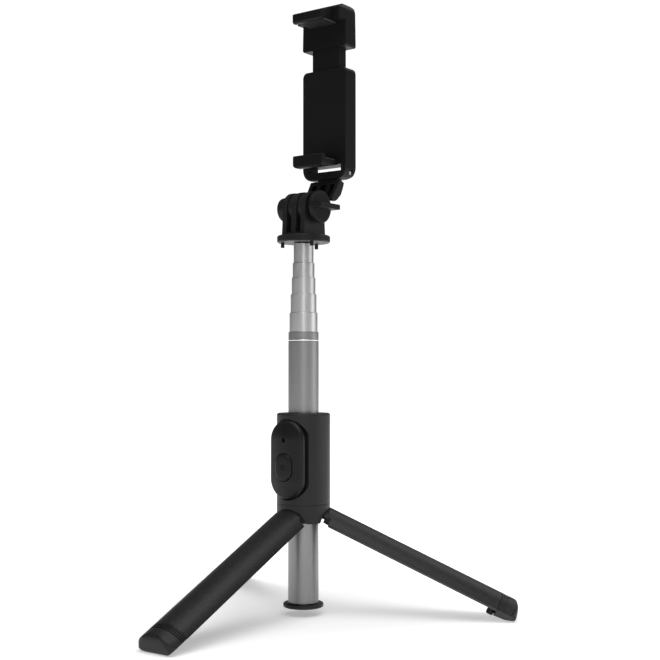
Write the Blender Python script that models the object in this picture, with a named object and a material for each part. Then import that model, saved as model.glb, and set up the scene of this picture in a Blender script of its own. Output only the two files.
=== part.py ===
"""Telescopic selfie stick that opens into a three-legged stand.

Metres, +Z up, floor at z = 0, front at -Y. Every shape is drawn about the pole's axis;
the empty "selfie_stick" then moves the whole part, so that its footprint is centred on
the origin. Moving pieces hang on empties that lie on their joint axes.
"""

import math

import bmesh
import bpy
from mathutils import Matrix, Vector

MM = 0.001

# ---- driving dimensions -------------------------------------------------------------
GAP = 0.3 * MM

# Grip housing and leg hub
BODY_RADIUS = 13.5 * MM
HUB_BOTTOM = 46.6 * MM
HUB_TOP = 55.6 * MM
HOUSING_BOTTOM = 55.9 * MM
HOUSING_TOP = 101.1 * MM
BORE_RADIUS = 8.05 * MM
SPIGOT_RADIUS = 10.4 * MM
SPIGOT_TOP = 57.5 * MM
CORE_RADIUS = 9.0 * MM
RING_BOTTOM = 54.6 * MM
RING_TOP = 57.2 * MM
RING_RADII = (8.0 * MM, 9.0 * MM)
ARCH_HALF_WIDTH = 9.4 * MM
ARCH_TOP = 53.8 * MM
LUG_HALF_WIDTH = 2.4 * MM
LUG_RADIUS = 1.7 * MM
LUG_FRONT = 12.2 * MM

# Legs
LEG_AZIMUTHS = {"front": -90.0, "right": 30.0, "left": 150.0}
LEG_PIVOT_RADIUS = 10.5 * MM
LEG_PIVOT_HEIGHT = 51.7 * MM
LEG_SPREAD = 64.4
LEG_HALF_ANGLE = 58.5
LEG_INNER_RADIUS = 10.6 * MM
LEG_SHOULDER = 5.5 * MM
LEG_SHELL_END = 97.2 * MM
LEG_DOME_TOP = 0.6 * MM
LEG_DOME_HALF_ANGLE = 42.3
LEG_BLOCK = (9.3 * MM, 6.35 * MM, 8.95 * MM)
LEG_BOSS_RADIUS = 1.6 * MM
LEG_BOSS_HALF_LENGTH = 5.2 * MM
FOOT_INNER_RADIUS = 3.0 * MM
FOOT_CONTACT_RADIUS = 104.6 * MM
FOOT_GROOVES = 3
FOOT_GROOVE_PITCH = 1.1 * MM
FOOT_GROOVE_DEPTH = 0.35 * MM
PEG_STATION = 95.6 * MM
PEG_RADIUS = 1.9 * MM
PEG_END = 1.4 * MM
HINGE_PIN_RADIUS = 0.75 * MM
HINGE_PIN_HALF_LENGTH = 4.9 * MM

# Pole: outer radius, inner radius, bottom and top of each section at rest
FLANGE_RADIUS = 10.15 * MM
FLANGE_BOTTOM = 3.7 * MM
FLANGE_TOP = 5.8 * MM
FLANGE_RIM = 0.5 * MM
PLUG_TOP = 14.0 * MM
MAIN_TUBE = (7.70 * MM, 7.42 * MM, 6.1 * MM, 137.6 * MM)
COLLAR = (7.70 * MM, 7.42 * MM, 137.9 * MM, 142.1 * MM)
INNER_TUBES = (
    (7.15 * MM, 6.87 * MM, 24.0 * MM, 151.9 * MM),
    (6.60 * MM, 6.32 * MM, 33.0 * MM, 161.2 * MM),
    (6.05 * MM, 5.80 * MM, 41.2 * MM, 169.7 * MM),
    (5.55 * MM, 5.30 * MM, 48.4 * MM, 177.2 * MM),
    (5.05 * MM, 4.70 * MM, 58.4 * MM, 187.1 * MM),
)
TUBE_SIDES = 40

# Head
DISC_BOTTOM = 187.5 * MM
DISC_TOP = 191.0 * MM
PIN_CIRCLE_RADIUS = 10.8 * MM
PIN_RADIUS = 0.95 * MM
PIN_LENGTH = 2.4 * MM
PIN_AZIMUTHS = (90.0, -30.0, 210.0)
DISC_RIM = 0.5 * MM
KNUCKLE_HEIGHT = 205.2 * MM
PLATE_RADIUS = 8.1 * MM
PRONG_RADIUS = 7.6 * MM
CLEVIS_HALF_WIDTH = 7.2 * MM
SLOT_CENTRES = (-3.0 * MM, 3.0 * MM)
SLOT_HALF_WIDTH = 1.5 * MM
SLOT_FLOOR = 192.3 * MM
NUT_BOSS_RADIUS = 6.0 * MM
NUT_BOSS_END = -12.6 * MM
BOLT_RADIUS = 2.4 * MM
BOLT_HOLE_RADIUS = 2.75 * MM
KNOB_RADIUS = 8.3 * MM
KNOB_FACES = (9.2 * MM, 11.6 * MM)
WING_END = 17.2 * MM
WING_HALF_THICKNESS = 1.3 * MM

# Neck and clamp
NECK_HALF_WIDTH = 9.5 * MM
NECK_TOP = 221.1 * MM
CLAMP_PIN = (22.9 * MM, 225.1 * MM)
BARREL_RADIUS = 2.0 * MM
CLAMP_HALF_WIDTH = 14.0 * MM
CLAMP_FRONT = 17.2 * MM
CLAMP_BACK = 26.7 * MM
CLAMP_BOTTOM = 222.1 * MM
CLAMP_BASE_TOP = 280.0 * MM
CLAMP_CORNERS = (5.6 * MM, 2.5 * MM)
PIN_PIT = (1.7 * MM, 1.2 * MM)
WINDOW = (226.75 * MM, 229.4 * MM)
WINDOW_SILL = 226.1 * MM
GRIP_LOW = 231.6 * MM
GRIP_HIGH = 303.1 * MM
LIP_FRONT = 3.0 * MM
LIP_HALF_WIDTH = 9.4 * MM
LIP_LOW = 226.9 * MM
LIP_HIGH = 233.4 * MM
LEDGE_FRONT = 15.0 * MM
PAD_THICKNESS = 1.0 * MM
JAW_TOP = 313.5 * MM
JAW_CORNER = 4.8 * MM

# Remote
REMOTE_CENTRE = 78.2 * MM
REMOTE_HALF_WIDTH = 10.2 * MM
REMOTE_HALF_HEIGHT = 19.8 * MM
REMOTE_BACK = -9.2 * MM
REMOTE_SPLIT = -12.0 * MM
REMOTE_FACE = -14.8 * MM
REMOTE_CROWN = -16.4 * MM
REMOTE_WALL = 1.3 * MM
DOCK_FLAT = -8.9 * MM
BUTTON_CENTRE = 74.6 * MM
BUTTON_HALF_SIZE = (5.0 * MM, 6.8 * MM)
LED_HEIGHT = 88.0 * MM

# The legs' footprint runs from the front foot to the two rear feet; half the difference
# in their reach centres it on the origin.
FOOTPRINT_SHIFT = 22.73 * MM

REST = math.radians(LEG_SPREAD)

# ---- clean scene --------------------------------------------------------------------
for old_object in list(bpy.data.objects):
    bpy.data.objects.remove(old_object)


# ---- materials ----------------------------------------------------------------------
def material(name, colour, roughness, metallic=0.0):
    made = bpy.data.materials.new(name)
    made.use_nodes = True
    shader = made.node_tree.nodes["Principled BSDF"]
    shader.inputs["Base Color"].default_value = (*colour, 1.0)
    shader.inputs["Roughness"].default_value = roughness
    shader.inputs["Metallic"].default_value = metallic
    return made


BLACK_PLASTIC = (0.035, 0.035, 0.037)
SOFT_BLACK = (0.022, 0.022, 0.023)
RUBBER = (0.015, 0.015, 0.015)
STEEL = (0.55, 0.55, 0.56)
BRIGHT_STEEL = (0.66, 0.66, 0.67)


# ---- objects and placing ------------------------------------------------------------
def empty(name, parent=None, at=(0.0, 0.0, 0.0), turned=(0.0, 0.0, 0.0)):
    """An empty on a joint axis; at is measured in its parent's frame."""
    made = bpy.data.objects.new(name, None)
    bpy.context.scene.collection.objects.link(made)
    made.parent = parent
    made.location = at
    made.rotation_euler = turned
    return made


def piece(name, shape, parent, colour, roughness, metallic=0.0, origin=(0.0, 0.0, 0.0)):
    """A named sub-part from a bmesh; origin is where its parent's empty stands."""
    mesh = bpy.data.meshes.new(name)
    bmesh.ops.recalc_face_normals(shape, faces=shape.faces)
    shape.to_mesh(mesh)
    shape.free()
    mesh.transform(Matrix.Translation(-Vector(origin)))
    mesh.shade_smooth()
    mesh.set_sharp_from_angle(angle=math.radians(30.0))
    made = bpy.data.objects.new(name, mesh)
    bpy.context.scene.collection.objects.link(made)
    made.parent = parent
    made.data.materials.append(material(name, colour, roughness, metallic))
    return made


def combine(target, shape, operation="DIFFERENCE", origin=(0.0, 0.0, 0.0)):
    """Cuts a closed shape out of target, or joins it on. The tool is a hidden guide."""
    name = f"tool_{target.name}_{len(target.modifiers)}"
    tool = piece(name, shape, target.parent, BLACK_PLASTIC, 0.5, origin=origin)
    tool.hide_render = True
    tool.display_type = "WIRE"
    boolean = target.modifiers.new(name, "BOOLEAN")
    boolean.operation = operation
    boolean.solver = "EXACT"
    boolean.object = tool


# ---- shapes -------------------------------------------------------------------------
def arc(centre, radius, start, end, count):
    """Points on a circle in the plane, from start to end in degrees."""
    steps = [start + (end - start) * i / (count - 1) for i in range(count)]
    turns = [math.radians(a) for a in steps]
    return [(centre[0] + radius * math.cos(a), centre[1] + radius * math.sin(a)) for a in turns]


def ring_of(radius, sides, centre=(0.0, 0.0)):
    return arc(centre, radius, 0.0, 360.0 * (sides - 1) / sides, sides)


def rounded(half_width, half_height, radius, sides=5, centre=(0.0, 0.0)):
    """A rectangle with round corners, anticlockwise from the lower right corner."""
    x, y = half_width - radius, half_height - radius
    corners = ((x, -y, -90.0), (x, y, 0.0), (-x, y, 90.0), (-x, -y, 180.0))
    points = []
    for cx, cy, start in corners:
        points += arc((centre[0] + cx, centre[1] + cy), radius, start, start + 90.0, sides)
    return points


def stadium(half_width, half_height, sides=9, centre=(0.0, 0.0)):
    """A tall outline with half-round ends."""
    straight = half_height - half_width
    upper = arc((centre[0], centre[1] + straight), half_width, 0.0, 180.0, sides)
    lower = arc((centre[0], centre[1] - straight), half_width, 180.0, 360.0, sides)
    return upper + lower


def loft(rings):
    """A closed solid through rings of equally many 3-D points, capped at both ends."""
    shape = bmesh.new()
    loops = [[shape.verts.new(p) for p in ring] for ring in rings]
    for lower, upper in zip(loops, loops[1:]):
        for i in range(len(lower)):
            j = (i + 1) % len(lower)
            shape.faces.new((lower[i], lower[j], upper[j], upper[i]))
    shape.faces.new(reversed(loops[0]))
    shape.faces.new(loops[-1])
    return shape


def prism(outline, low, high, along="z", edge=0.0):
    """An outline extruded along an axis; edge bevels the rims of both ends.

    Along z the outline is (x, y), along x it is (y, z), and along y it is (x, z).
    """
    place = {
        "z": lambda a, b, c: (a, b, c),
        "x": lambda a, b, c: (c, a, b),
        "y": lambda a, b, c: (a, c, b),
    }[along]
    levels = [(low, 0.0), (high, 0.0)]
    if edge:
        levels = [(low, edge), (low + edge, 0.0), (high - edge, 0.0), (high, edge)]
    middle = (sum(p[0] for p in outline) / len(outline), sum(p[1] for p in outline) / len(outline))
    rings = []
    for level, inset in levels:
        ring = []
        for a, b in outline:
            reach = math.hypot(a - middle[0], b - middle[1])
            shrink = 1.0 - inset / reach
            across, along_b = middle[0] + (a - middle[0]) * shrink, middle[1] + (b - middle[1]) * shrink
            ring.append(place(across, along_b, level))
        rings.append(ring)
    return loft(rings)


def box(x, y, z):
    return prism([(x[0], y[0]), (x[1], y[0]), (x[1], y[1]), (x[0], y[1])], z[0], z[1])


def turned(profile, sides):
    """A solid turned about Z from (radius, height) points that run from the axis to the axis."""
    shape = bmesh.new()
    loops = []
    for radius, height in profile:
        if radius == 0.0:
            loops.append([shape.verts.new((0.0, 0.0, height))])
        else:
            loops.append([shape.verts.new((x, y, height)) for x, y in ring_of(radius, sides)])
    for lower, upper in zip(loops, loops[1:]):
        for i in range(sides):
            j = (i + 1) % sides
            corners = [lower[i % len(lower)], lower[j % len(lower)]]
            corners += [upper[j % len(upper)], upper[i % len(upper)]]
            shape.faces.new(list(dict.fromkeys(corners)))
    return shape


def tube(outer, inner, low, high, sides, edge=0.0):
    """An open tube; edge chamfers its outer rims."""
    profile = [(inner, low), (outer, low), (outer, high), (inner, high)]
    if edge:
        profile[1:3] = [(outer - edge, low), (outer, low + edge), (outer, high - edge), (outer - edge, high)]
    shape = bmesh.new()
    rings = [[(x, y, height) for x, y in ring_of(radius, sides)] for radius, height in profile]
    loops = [[shape.verts.new(p) for p in ring] for ring in rings]
    for lower, upper in zip(loops, loops[1:] + loops[:1]):
        for i in range(sides):
            j = (i + 1) % sides
            shape.faces.new((lower[i], lower[j], upper[j], upper[i]))
    return shape


def moved(shape, matrix):
    bmesh.ops.transform(shape, matrix=matrix, verts=shape.verts)
    return shape


def along_x(shape, at=(0.0, 0.0, 0.0)):
    """Turns a shape made about Z onto the X axis and moves it."""
    return moved(shape, Matrix.Translation(at) @ Matrix.Rotation(math.radians(90.0), 4, "Y"))


def along_y(shape, at=(0.0, 0.0, 0.0)):
    """Turns a shape made about Z onto the Y axis, so that its z becomes y."""
    return moved(shape, Matrix.Translation(at) @ Matrix.Rotation(math.radians(-90.0), 4, "X"))


def turned_to(shape, azimuth):
    """Turns a shape drawn towards +X to face the given azimuth."""
    return moved(shape, Matrix.Rotation(math.radians(azimuth), 4, "Z"))


def cylinder(radius, low, high, sides):
    return turned([(0.0, low), (radius, low), (radius, high), (0.0, high)], sides)


root = empty("selfie_stick", at=(0.0, FOOTPRINT_SHIFT, 0.0))


# ---- dock housing, hub and friction ring --------------------------------------------
def make_dock_housing():
    housing = piece(
        "dock_housing", tube(BODY_RADIUS, BORE_RADIUS, HOUSING_BOTTOM, HOUSING_TOP, 56, edge=0.5 * MM),
        root, BLACK_PLASTIC, 0.55,
    )
    combine(housing, cylinder(SPIGOT_RADIUS + GAP, HOUSING_BOTTOM - MM, SPIGOT_TOP + GAP, 32))
    recess = stadium(REMOTE_HALF_WIDTH + 0.4 * MM, REMOTE_HALF_HEIGHT + 0.4 * MM, 9, (0.0, REMOTE_CENTRE))
    combine(housing, prism(recess, -2.0 * BODY_RADIUS, DOCK_FLAT, along="y"))
    for azimuth in PIN_AZIMUTHS:
        hole = cylinder(PIN_RADIUS + GAP, HOUSING_TOP - 2.8 * MM, HOUSING_TOP + MM, 12)
        hole = moved(hole, Matrix.Translation((PIN_CIRCLE_RADIUS, 0.0, 0.0)))
        combine(housing, turned_to(hole, azimuth))


def arch_curve(inset):
    """The edge of the pocket above each leg (across, height), from right to left."""
    half_width, bottom, top = ARCH_HALF_WIDTH - inset, HUB_BOTTOM - inset, ARCH_TOP - inset
    rise = top - bottom
    radius = (half_width**2 + rise**2) / (2.0 * rise)
    start = math.degrees(math.atan2(bottom - (top - radius), half_width))
    return arc((0.0, top - radius), radius, start, 180.0 - start, 16)


def above_arch():
    """A cutter for whatever stands above a leg's arch, with the running gap."""
    curve = arch_curve(GAP)
    side, top = BODY_RADIUS + 2.0 * MM, HUB_TOP + 4.0 * MM
    outline = [(side, curve[0][1]), (side, top), (-side, top), (-side, curve[-1][1])] + curve[::-1]
    return prism(outline, 5.0 * MM, BODY_RADIUS + 0.4 * MM, along="x")


def make_leg_hub():
    body = turned(
        [
            (0.0, HUB_BOTTOM), (BODY_RADIUS, HUB_BOTTOM), (BODY_RADIUS, HUB_TOP),
            (SPIGOT_RADIUS, HUB_TOP), (SPIGOT_RADIUS, SPIGOT_TOP), (0.0, SPIGOT_TOP),
        ],
        56,
    )
    hub = piece("leg_hub", body, root, BLACK_PLASTIC, 0.5)
    below = HUB_BOTTOM - MM
    pocket = [(ARCH_HALF_WIDTH, below)] + arch_curve(0.0) + [(-ARCH_HALF_WIDTH, below)]
    lug = [(8.3 * MM, LEG_PIVOT_HEIGHT - LUG_RADIUS)]
    lug += arc((LEG_PIVOT_RADIUS, LEG_PIVOT_HEIGHT), LUG_RADIUS, -90.0, 0.0, 7)
    lug += [(LUG_FRONT, HUB_TOP - 0.3 * MM), (8.3 * MM, HUB_TOP - 0.3 * MM)]
    pivot = (LEG_PIVOT_RADIUS, 0.0, LEG_PIVOT_HEIGHT)
    for azimuth in LEG_AZIMUTHS.values():
        combine(hub, turned_to(prism(pocket, 6.0 * MM, BODY_RADIUS + 2.0 * MM, along="x"), azimuth))
        reach = LEG_BOSS_HALF_LENGTH + GAP
        relief = along_y(cylinder(LEG_BOSS_RADIUS + GAP, -reach, reach, 24), pivot)
        combine(hub, turned_to(relief, azimuth))
    combine(hub, turned_to(cylinder(CORE_RADIUS, HUB_BOTTOM - GAP, HUB_TOP - GAP, 40), 2.0), "UNION")
    for azimuth in LEG_AZIMUTHS.values():
        combine(hub, turned_to(prism(lug, -LUG_HALF_WIDTH, LUG_HALF_WIDTH, along="y"), azimuth), "UNION")
    seat, seat_floor = RING_RADII[1] + GAP, RING_BOTTOM - GAP
    bore = turned(
        [
            (0.0, HUB_BOTTOM - MM), (BORE_RADIUS, HUB_BOTTOM - MM), (BORE_RADIUS, seat_floor),
            (seat, seat_floor), (seat, SPIGOT_TOP + MM), (0.0, SPIGOT_TOP + MM),
        ],
        40,
    )
    combine(hub, turned_to(bore, 3.0))
    for azimuth in LEG_AZIMUTHS.values():
        hole = along_y(cylinder(HINGE_PIN_RADIUS + GAP, -4.0 * MM, 4.0 * MM, 16), pivot)
        combine(hub, turned_to(hole, azimuth))


def make_friction_ring():
    ring = tube(RING_RADII[1], RING_RADII[0], RING_BOTTOM, RING_TOP, 40)
    piece("friction_ring", ring, root, (0.75, 0.75, 0.72), 0.5)


# ---- legs ---------------------------------------------------------------------------
def sector(inner, outer, low, high, half_angle=LEG_HALF_ANGLE):
    """Part of a round wall, drawn about the pole's axis towards +X."""
    points = arc((0.0, 0.0), outer, -half_angle, half_angle, 17)
    points += arc((0.0, 0.0), inner, half_angle, -half_angle, 17)
    return prism(points, low, high)


def folded_to_rest(radius, height):
    """Where a point of the folded leg (radius, height from the pivot) stands at rest."""
    across, up = radius - LEG_PIVOT_RADIUS, height
    return (
        LEG_PIVOT_RADIUS + across * math.cos(REST) - up * math.sin(REST),
        LEG_PIVOT_HEIGHT + across * math.sin(REST) + up * math.cos(REST),
    )


def foot_profile():
    """The foot's side view at rest (radius, height): flat sole on the floor and round toe."""
    top = folded_to_rest(BODY_RADIUS + 0.1 * MM, -(LEG_SHELL_END + 3.6 * MM))
    toe = (
        (105.0, 9.75), (106.1, 8.9), (106.75, 7.9), (107.0, 6.8), (106.9, 5.4),
        (106.4, 3.4), (105.7, 1.3), (105.2, 0.4),
    )
    start = folded_to_rest(BODY_RADIUS + 0.1 * MM, -(LEG_SHELL_END + GAP))
    inner = folded_to_rest(FOOT_INNER_RADIUS - MM, -(LEG_SHELL_END + GAP))
    heel_reach = inner[0] + (FOOT_CONTACT_RADIUS - inner[0]) * 0.55
    points = [start, top] + [(r * MM, z * MM) for r, z in toe]
    return points + [(FOOT_CONTACT_RADIUS, 0.0), (heel_reach, 0.0), inner]


def foot_plan():
    """The foot's plan at rest (radius, across), which rounds the toe."""
    half = (
        (90.0, 14.0), (101.6, 12.6), (103.6, 11.2), (105.3, 9.9), (106.35, 8.3), (106.82, 6.3), (107.4, 3.2),
    )
    points = [(r * MM, -t * MM) for r, t in half] + [(r * MM, t * MM) for r, t in reversed(half)]
    return points


def rest_to_folded(shape):
    """Turns a shape drawn at rest about the pivot back into the folded leg's frame."""
    pivot = Vector((LEG_PIVOT_RADIUS, 0.0, LEG_PIVOT_HEIGHT))
    turn = Matrix.Rotation(REST, 4, "Y")
    return moved(shape, Matrix.Translation(pivot) @ turn @ Matrix.Translation(-pivot))


def hinge_block():
    """The thick inside of a leg's root, which is as wide as the hub's arch."""
    inner, flat, side = LEG_BLOCK
    turn = math.degrees(math.acos(flat / inner))
    outline = [
        (flat, -side), (10.0 * MM, -side), (11.6 * MM, -6.0 * MM), (11.6 * MM, 6.0 * MM), (10.0 * MM, side),
        (flat, side),
    ]
    outline += arc((0.0, 0.0), inner, turn, -turn, 15)
    return prism(outline, LEG_PIVOT_HEIGHT - 7.1 * MM, LEG_PIVOT_HEIGHT - 2.4 * MM)


def make_leg(side, azimuth):
    """One leg, drawn folded down along the pole and opened by its empty's rotation."""
    direction = math.radians(azimuth)
    at = (LEG_PIVOT_RADIUS * math.cos(direction), LEG_PIVOT_RADIUS * math.sin(direction), LEG_PIVOT_HEIGHT)
    hinge = empty(f"hinge_{side}", root, at, (0.0, -REST, direction))
    pivot = (LEG_PIVOT_RADIUS, 0.0, LEG_PIVOT_HEIGHT)
    shell_bottom = LEG_PIVOT_HEIGHT - LEG_SHELL_END

    shell = sector(LEG_INNER_RADIUS, BODY_RADIUS, shell_bottom, LEG_PIVOT_HEIGHT - LEG_SHOULDER)
    leg = piece(f"leg_{side}", shell, hinge, BLACK_PLASTIC, 0.5, origin=pivot)
    shoulder = LEG_PIVOT_HEIGHT - LEG_SHOULDER
    crest = LEG_PIVOT_HEIGHT + LEG_DOME_TOP
    dome = sector(LEG_INNER_RADIUS, BODY_RADIUS, shoulder - 2.0 * MM, crest, LEG_DOME_HALF_ANGLE)
    combine(leg, dome, "UNION", origin=pivot)
    combine(leg, hinge_block(), "UNION", origin=pivot)
    combine(leg, above_arch(), origin=pivot)
    combine(leg, rest_to_folded(above_arch()), origin=pivot)
    boss = cylinder(LEG_BOSS_RADIUS, -LEG_BOSS_HALF_LENGTH, LEG_BOSS_HALF_LENGTH, 20)
    combine(leg, along_y(boss, pivot), "UNION", origin=pivot)
    slot_half = LUG_HALF_WIDTH + GAP
    slot_floor, skin_floor = LEG_PIVOT_HEIGHT - 2.0 * MM, LEG_PIVOT_HEIGHT - 1.25 * MM
    top = LEG_PIVOT_HEIGHT + 3.0 * MM
    combine(leg, box((8.0 * MM, 12.5 * MM), (-slot_half, slot_half), (slot_floor, top)), origin=pivot)
    combine(leg, box((12.0 * MM, 15.0 * MM), (-slot_half, slot_half), (skin_floor, top)), origin=pivot)
    hole = cylinder(HINGE_PIN_RADIUS + GAP, -LEG_BOSS_HALF_LENGTH - MM, LEG_BOSS_HALF_LENGTH + MM, 16)
    combine(leg, along_y(hole, pivot), origin=pivot)
    socket = cylinder(PEG_RADIUS - 0.2 * MM, LEG_INNER_RADIUS - MM, LEG_INNER_RADIUS + 1.6 * MM, 12)
    peg_height = LEG_PIVOT_HEIGHT - PEG_STATION
    combine(leg, along_x(turned_to(socket, 15.0), (0.0, 0.0, peg_height)), origin=pivot)

    peg = turned(
        [
            (0.0, PEG_END), (PEG_RADIUS - 0.3 * MM, PEG_END), (PEG_RADIUS, PEG_END + 0.3 * MM),
            (PEG_RADIUS, LEG_INNER_RADIUS - 1.0 * MM), (PEG_RADIUS - 0.5 * MM, LEG_INNER_RADIUS - 1.0 * MM),
            (PEG_RADIUS - 0.5 * MM, LEG_INNER_RADIUS + 1.3 * MM), (0.0, LEG_INNER_RADIUS + 1.3 * MM),
        ],
        12,
    )
    piece(f"foot_peg_{side}", along_x(peg, (0.0, 0.0, peg_height)), hinge, SOFT_BLACK, 0.5, origin=pivot)

    block = sector(FOOT_INNER_RADIUS, BODY_RADIUS, shell_bottom - 14.0 * MM, shell_bottom - GAP)
    foot = piece(f"foot_{side}", block, hinge, RUBBER, 0.75, origin=pivot)
    profile = prism(foot_profile(), -2.0 * BODY_RADIUS, 2.0 * BODY_RADIUS, along="y")
    combine(foot, rest_to_folded(profile), "INTERSECT", origin=pivot)
    combine(foot, rest_to_folded(prism(foot_plan(), -5.0 * MM, 30.0 * MM)), "INTERSECT", origin=pivot)
    for groove in range(FOOT_GROOVES):
        top = shell_bottom - GAP - 0.5 * MM - groove * FOOT_GROOVE_PITCH
        band = tube(BODY_RADIUS + MM, BODY_RADIUS - FOOT_GROOVE_DEPTH, top - 0.5 * MM, top, 40)
        combine(foot, band, origin=pivot)

    pin = cylinder(HINGE_PIN_RADIUS, -HINGE_PIN_HALF_LENGTH, HINGE_PIN_HALF_LENGTH, 12)
    pin = turned_to(along_y(pin, pivot), azimuth)
    piece(f"hinge_pin_{side}", pin, root, BRIGHT_STEEL, 0.3, 1.0)


# ---- pole ---------------------------------------------------------------------------
def make_pole():
    outer, inner, low, high = MAIN_TUBE
    pole = empty("pole_slide", root)
    piece("main_tube", tube(outer, inner, low, high, TUBE_SIDES), pole, STEEL, 0.3, 1.0)
    flange = turned(
        [
            (0.0, FLANGE_BOTTOM), (FLANGE_RADIUS - FLANGE_RIM, FLANGE_BOTTOM),
            (FLANGE_RADIUS, FLANGE_BOTTOM + FLANGE_RIM), (FLANGE_RADIUS, FLANGE_TOP - FLANGE_RIM),
            (FLANGE_RADIUS - FLANGE_RIM, FLANGE_TOP), (inner - GAP, FLANGE_TOP),
            (inner - GAP, PLUG_TOP), (0.0, PLUG_TOP),
        ],
        TUBE_SIDES,
    )
    piece("base_flange", flange, pole, SOFT_BLACK, 0.55)
    collar = tube(COLLAR[0], COLLAR[1], COLLAR[2], COLLAR[3], TUBE_SIDES, edge=0.12 * MM)
    piece("tube_collar", collar, pole, STEEL, 0.25, 1.0)
    parent = pole
    for number, (radius, bore, bottom, top) in enumerate(INNER_TUBES, start=1):
        parent = empty(f"section_{number}_slide", parent)
        piece(f"inner_tube_{number}", tube(radius, bore, bottom, top, TUBE_SIDES), parent, STEEL, 0.28, 1.0)
    bore, top = INNER_TUBES[-1][1], INNER_TUBES[-1][3]
    plug = turned(
        [
            (0.0, top - 9.0 * MM), (bore - GAP, top - 9.0 * MM), (bore - GAP, DISC_BOTTOM - GAP),
            (3.0 * MM, DISC_BOTTOM - GAP), (3.0 * MM, DISC_TOP - 0.8 * MM), (0.0, DISC_TOP - 0.8 * MM),
        ],
        24,
    )
    piece("top_plug", plug, parent, SOFT_BLACK, 0.5)
    return parent


# ---- head ---------------------------------------------------------------------------
def make_head(parent):
    head = empty("head_swivel", parent)
    disc = turned(
        [
            (0.0, DISC_BOTTOM), (BODY_RADIUS - DISC_RIM, DISC_BOTTOM), (BODY_RADIUS, DISC_BOTTOM + DISC_RIM),
            (BODY_RADIUS, DISC_TOP - DISC_RIM), (BODY_RADIUS - DISC_RIM, DISC_TOP), (0.0, DISC_TOP),
        ],
        48,
    )
    clevis = piece("head_clevis", disc, head, BLACK_PLASTIC, 0.5)
    foot_half, waist_half = 8.9 * MM, 8.4 * MM
    outline = [(-foot_half, DISC_TOP - MM), (foot_half, DISC_TOP - MM), (waist_half, DISC_TOP + 5.0 * MM)]
    outline += arc((0.0, KNUCKLE_HEIGHT), PLATE_RADIUS, 0.0, 180.0, 17)
    outline += [(-waist_half, DISC_TOP + 5.0 * MM)]
    combine(clevis, prism(outline, -CLEVIS_HALF_WIDTH, CLEVIS_HALF_WIDTH, along="x"), "UNION")
    for centre in SLOT_CENTRES:
        across = (centre - SLOT_HALF_WIDTH, centre + SLOT_HALF_WIDTH)
        slot = box(across, (-10.0 * MM, 10.0 * MM), (SLOT_FLOOR, KNUCKLE_HEIGHT + 9.0 * MM))
        combine(clevis, slot)
    boss = cylinder(NUT_BOSS_RADIUS, NUT_BOSS_END, -CLEVIS_HALF_WIDTH + 0.9 * MM, 28)
    combine(clevis, along_x(boss, (0.0, 0.0, KNUCKLE_HEIGHT)), "UNION")
    bolt_hole = cylinder(BOLT_HOLE_RADIUS, NUT_BOSS_END - MM, CLEVIS_HALF_WIDTH + MM, 24)
    combine(clevis, along_x(bolt_hole, (0.0, 0.0, KNUCKLE_HEIGHT)))
    nut_pocket = cylinder(4.55 * MM + GAP, NUT_BOSS_END - MM, -8.0 * MM, 6)
    combine(clevis, along_x(nut_pocket, (0.0, 0.0, KNUCKLE_HEIGHT)))
    combine(clevis, cylinder(3.3 * MM, DISC_BOTTOM - MM, DISC_TOP - 0.4 * MM, 24))
    for azimuth in PIN_AZIMUTHS:
        pin = cylinder(PIN_RADIUS, DISC_BOTTOM - PIN_LENGTH, DISC_BOTTOM + MM, 12)
        pin = moved(pin, Matrix.Translation((PIN_CIRCLE_RADIUS, 0.0, 0.0)))
        combine(clevis, turned_to(pin, azimuth), "UNION")
    hexagon = cylinder(4.55 * MM, NUT_BOSS_END + 0.3 * MM, -8.0 * MM - GAP, 6)
    nut = piece("hex_nut", along_x(hexagon, (0.0, 0.0, KNUCKLE_HEIGHT)), head, BRIGHT_STEEL, 0.3, 1.0)
    nut_bore = cylinder(BOLT_HOLE_RADIUS, NUT_BOSS_END - MM, -7.0 * MM, 20)
    combine(nut, along_x(nut_bore, (0.0, 0.0, KNUCKLE_HEIGHT)))
    make_thumb_screw(head)
    return head


def make_thumb_screw(head):
    screw_axis = (0.0, 0.0, KNUCKLE_HEIGHT)
    turn = empty("thumb_screw_axis", head, screw_axis)
    inner, outer = KNOB_FACES
    rim = 0.5 * MM
    profile = [
        (0.0, NUT_BOSS_END + MM), (BOLT_RADIUS, NUT_BOSS_END + MM), (BOLT_RADIUS, 7.6 * MM),
        (4.4 * MM, 7.6 * MM), (4.4 * MM, inner), (KNOB_RADIUS - rim, inner), (KNOB_RADIUS, inner + rim),
        (KNOB_RADIUS, outer - rim),
        (KNOB_RADIUS - rim, outer), (0.0, outer),
    ]
    knob = along_x(turned(profile, 40), screw_axis)
    screw = piece("thumb_screw", knob, turn, SOFT_BLACK, 0.5, origin=screw_axis)
    wing = rounded(KNOB_RADIUS - 0.3 * MM, WING_HALF_THICKNESS, 0.6 * MM, 3, (0.0, KNUCKLE_HEIGHT))
    combine(screw, prism(wing, outer - MM, WING_END, along="x", edge=0.5 * MM), "UNION", origin=screw_axis)


# ---- neck and phone clamp -----------------------------------------------------------
def neck_profile():
    """Side view (y, z) of the neck's block, which leans back over the knuckle."""
    points = (
        (20.0, 221.1), (18.4, 221.5), (15.6, 216.5), (13.1, 213.3), (11.9, 210.8), (12.1, 209.9),
        (14.4, 209.8), (16.2, 210.7), (19.4, 213.6), (21.2, 217.2), (22.2, 220.1), (21.0, 220.6),
    )
    return [(y * MM, z * MM) for y, z in points]


def neck_hollow():
    """Side view (y, z) of the hollows between the neck's ribs, open to the front and below."""
    points = (
        (8.0, 205.0), (13.6, 205.0), (15.9, 211.9), (18.2, 214.2),
        (19.7, 217.2), (20.2, 219.2), (8.0, 219.2),
    )
    return [(y * MM, z * MM) for y, z in points]


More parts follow.
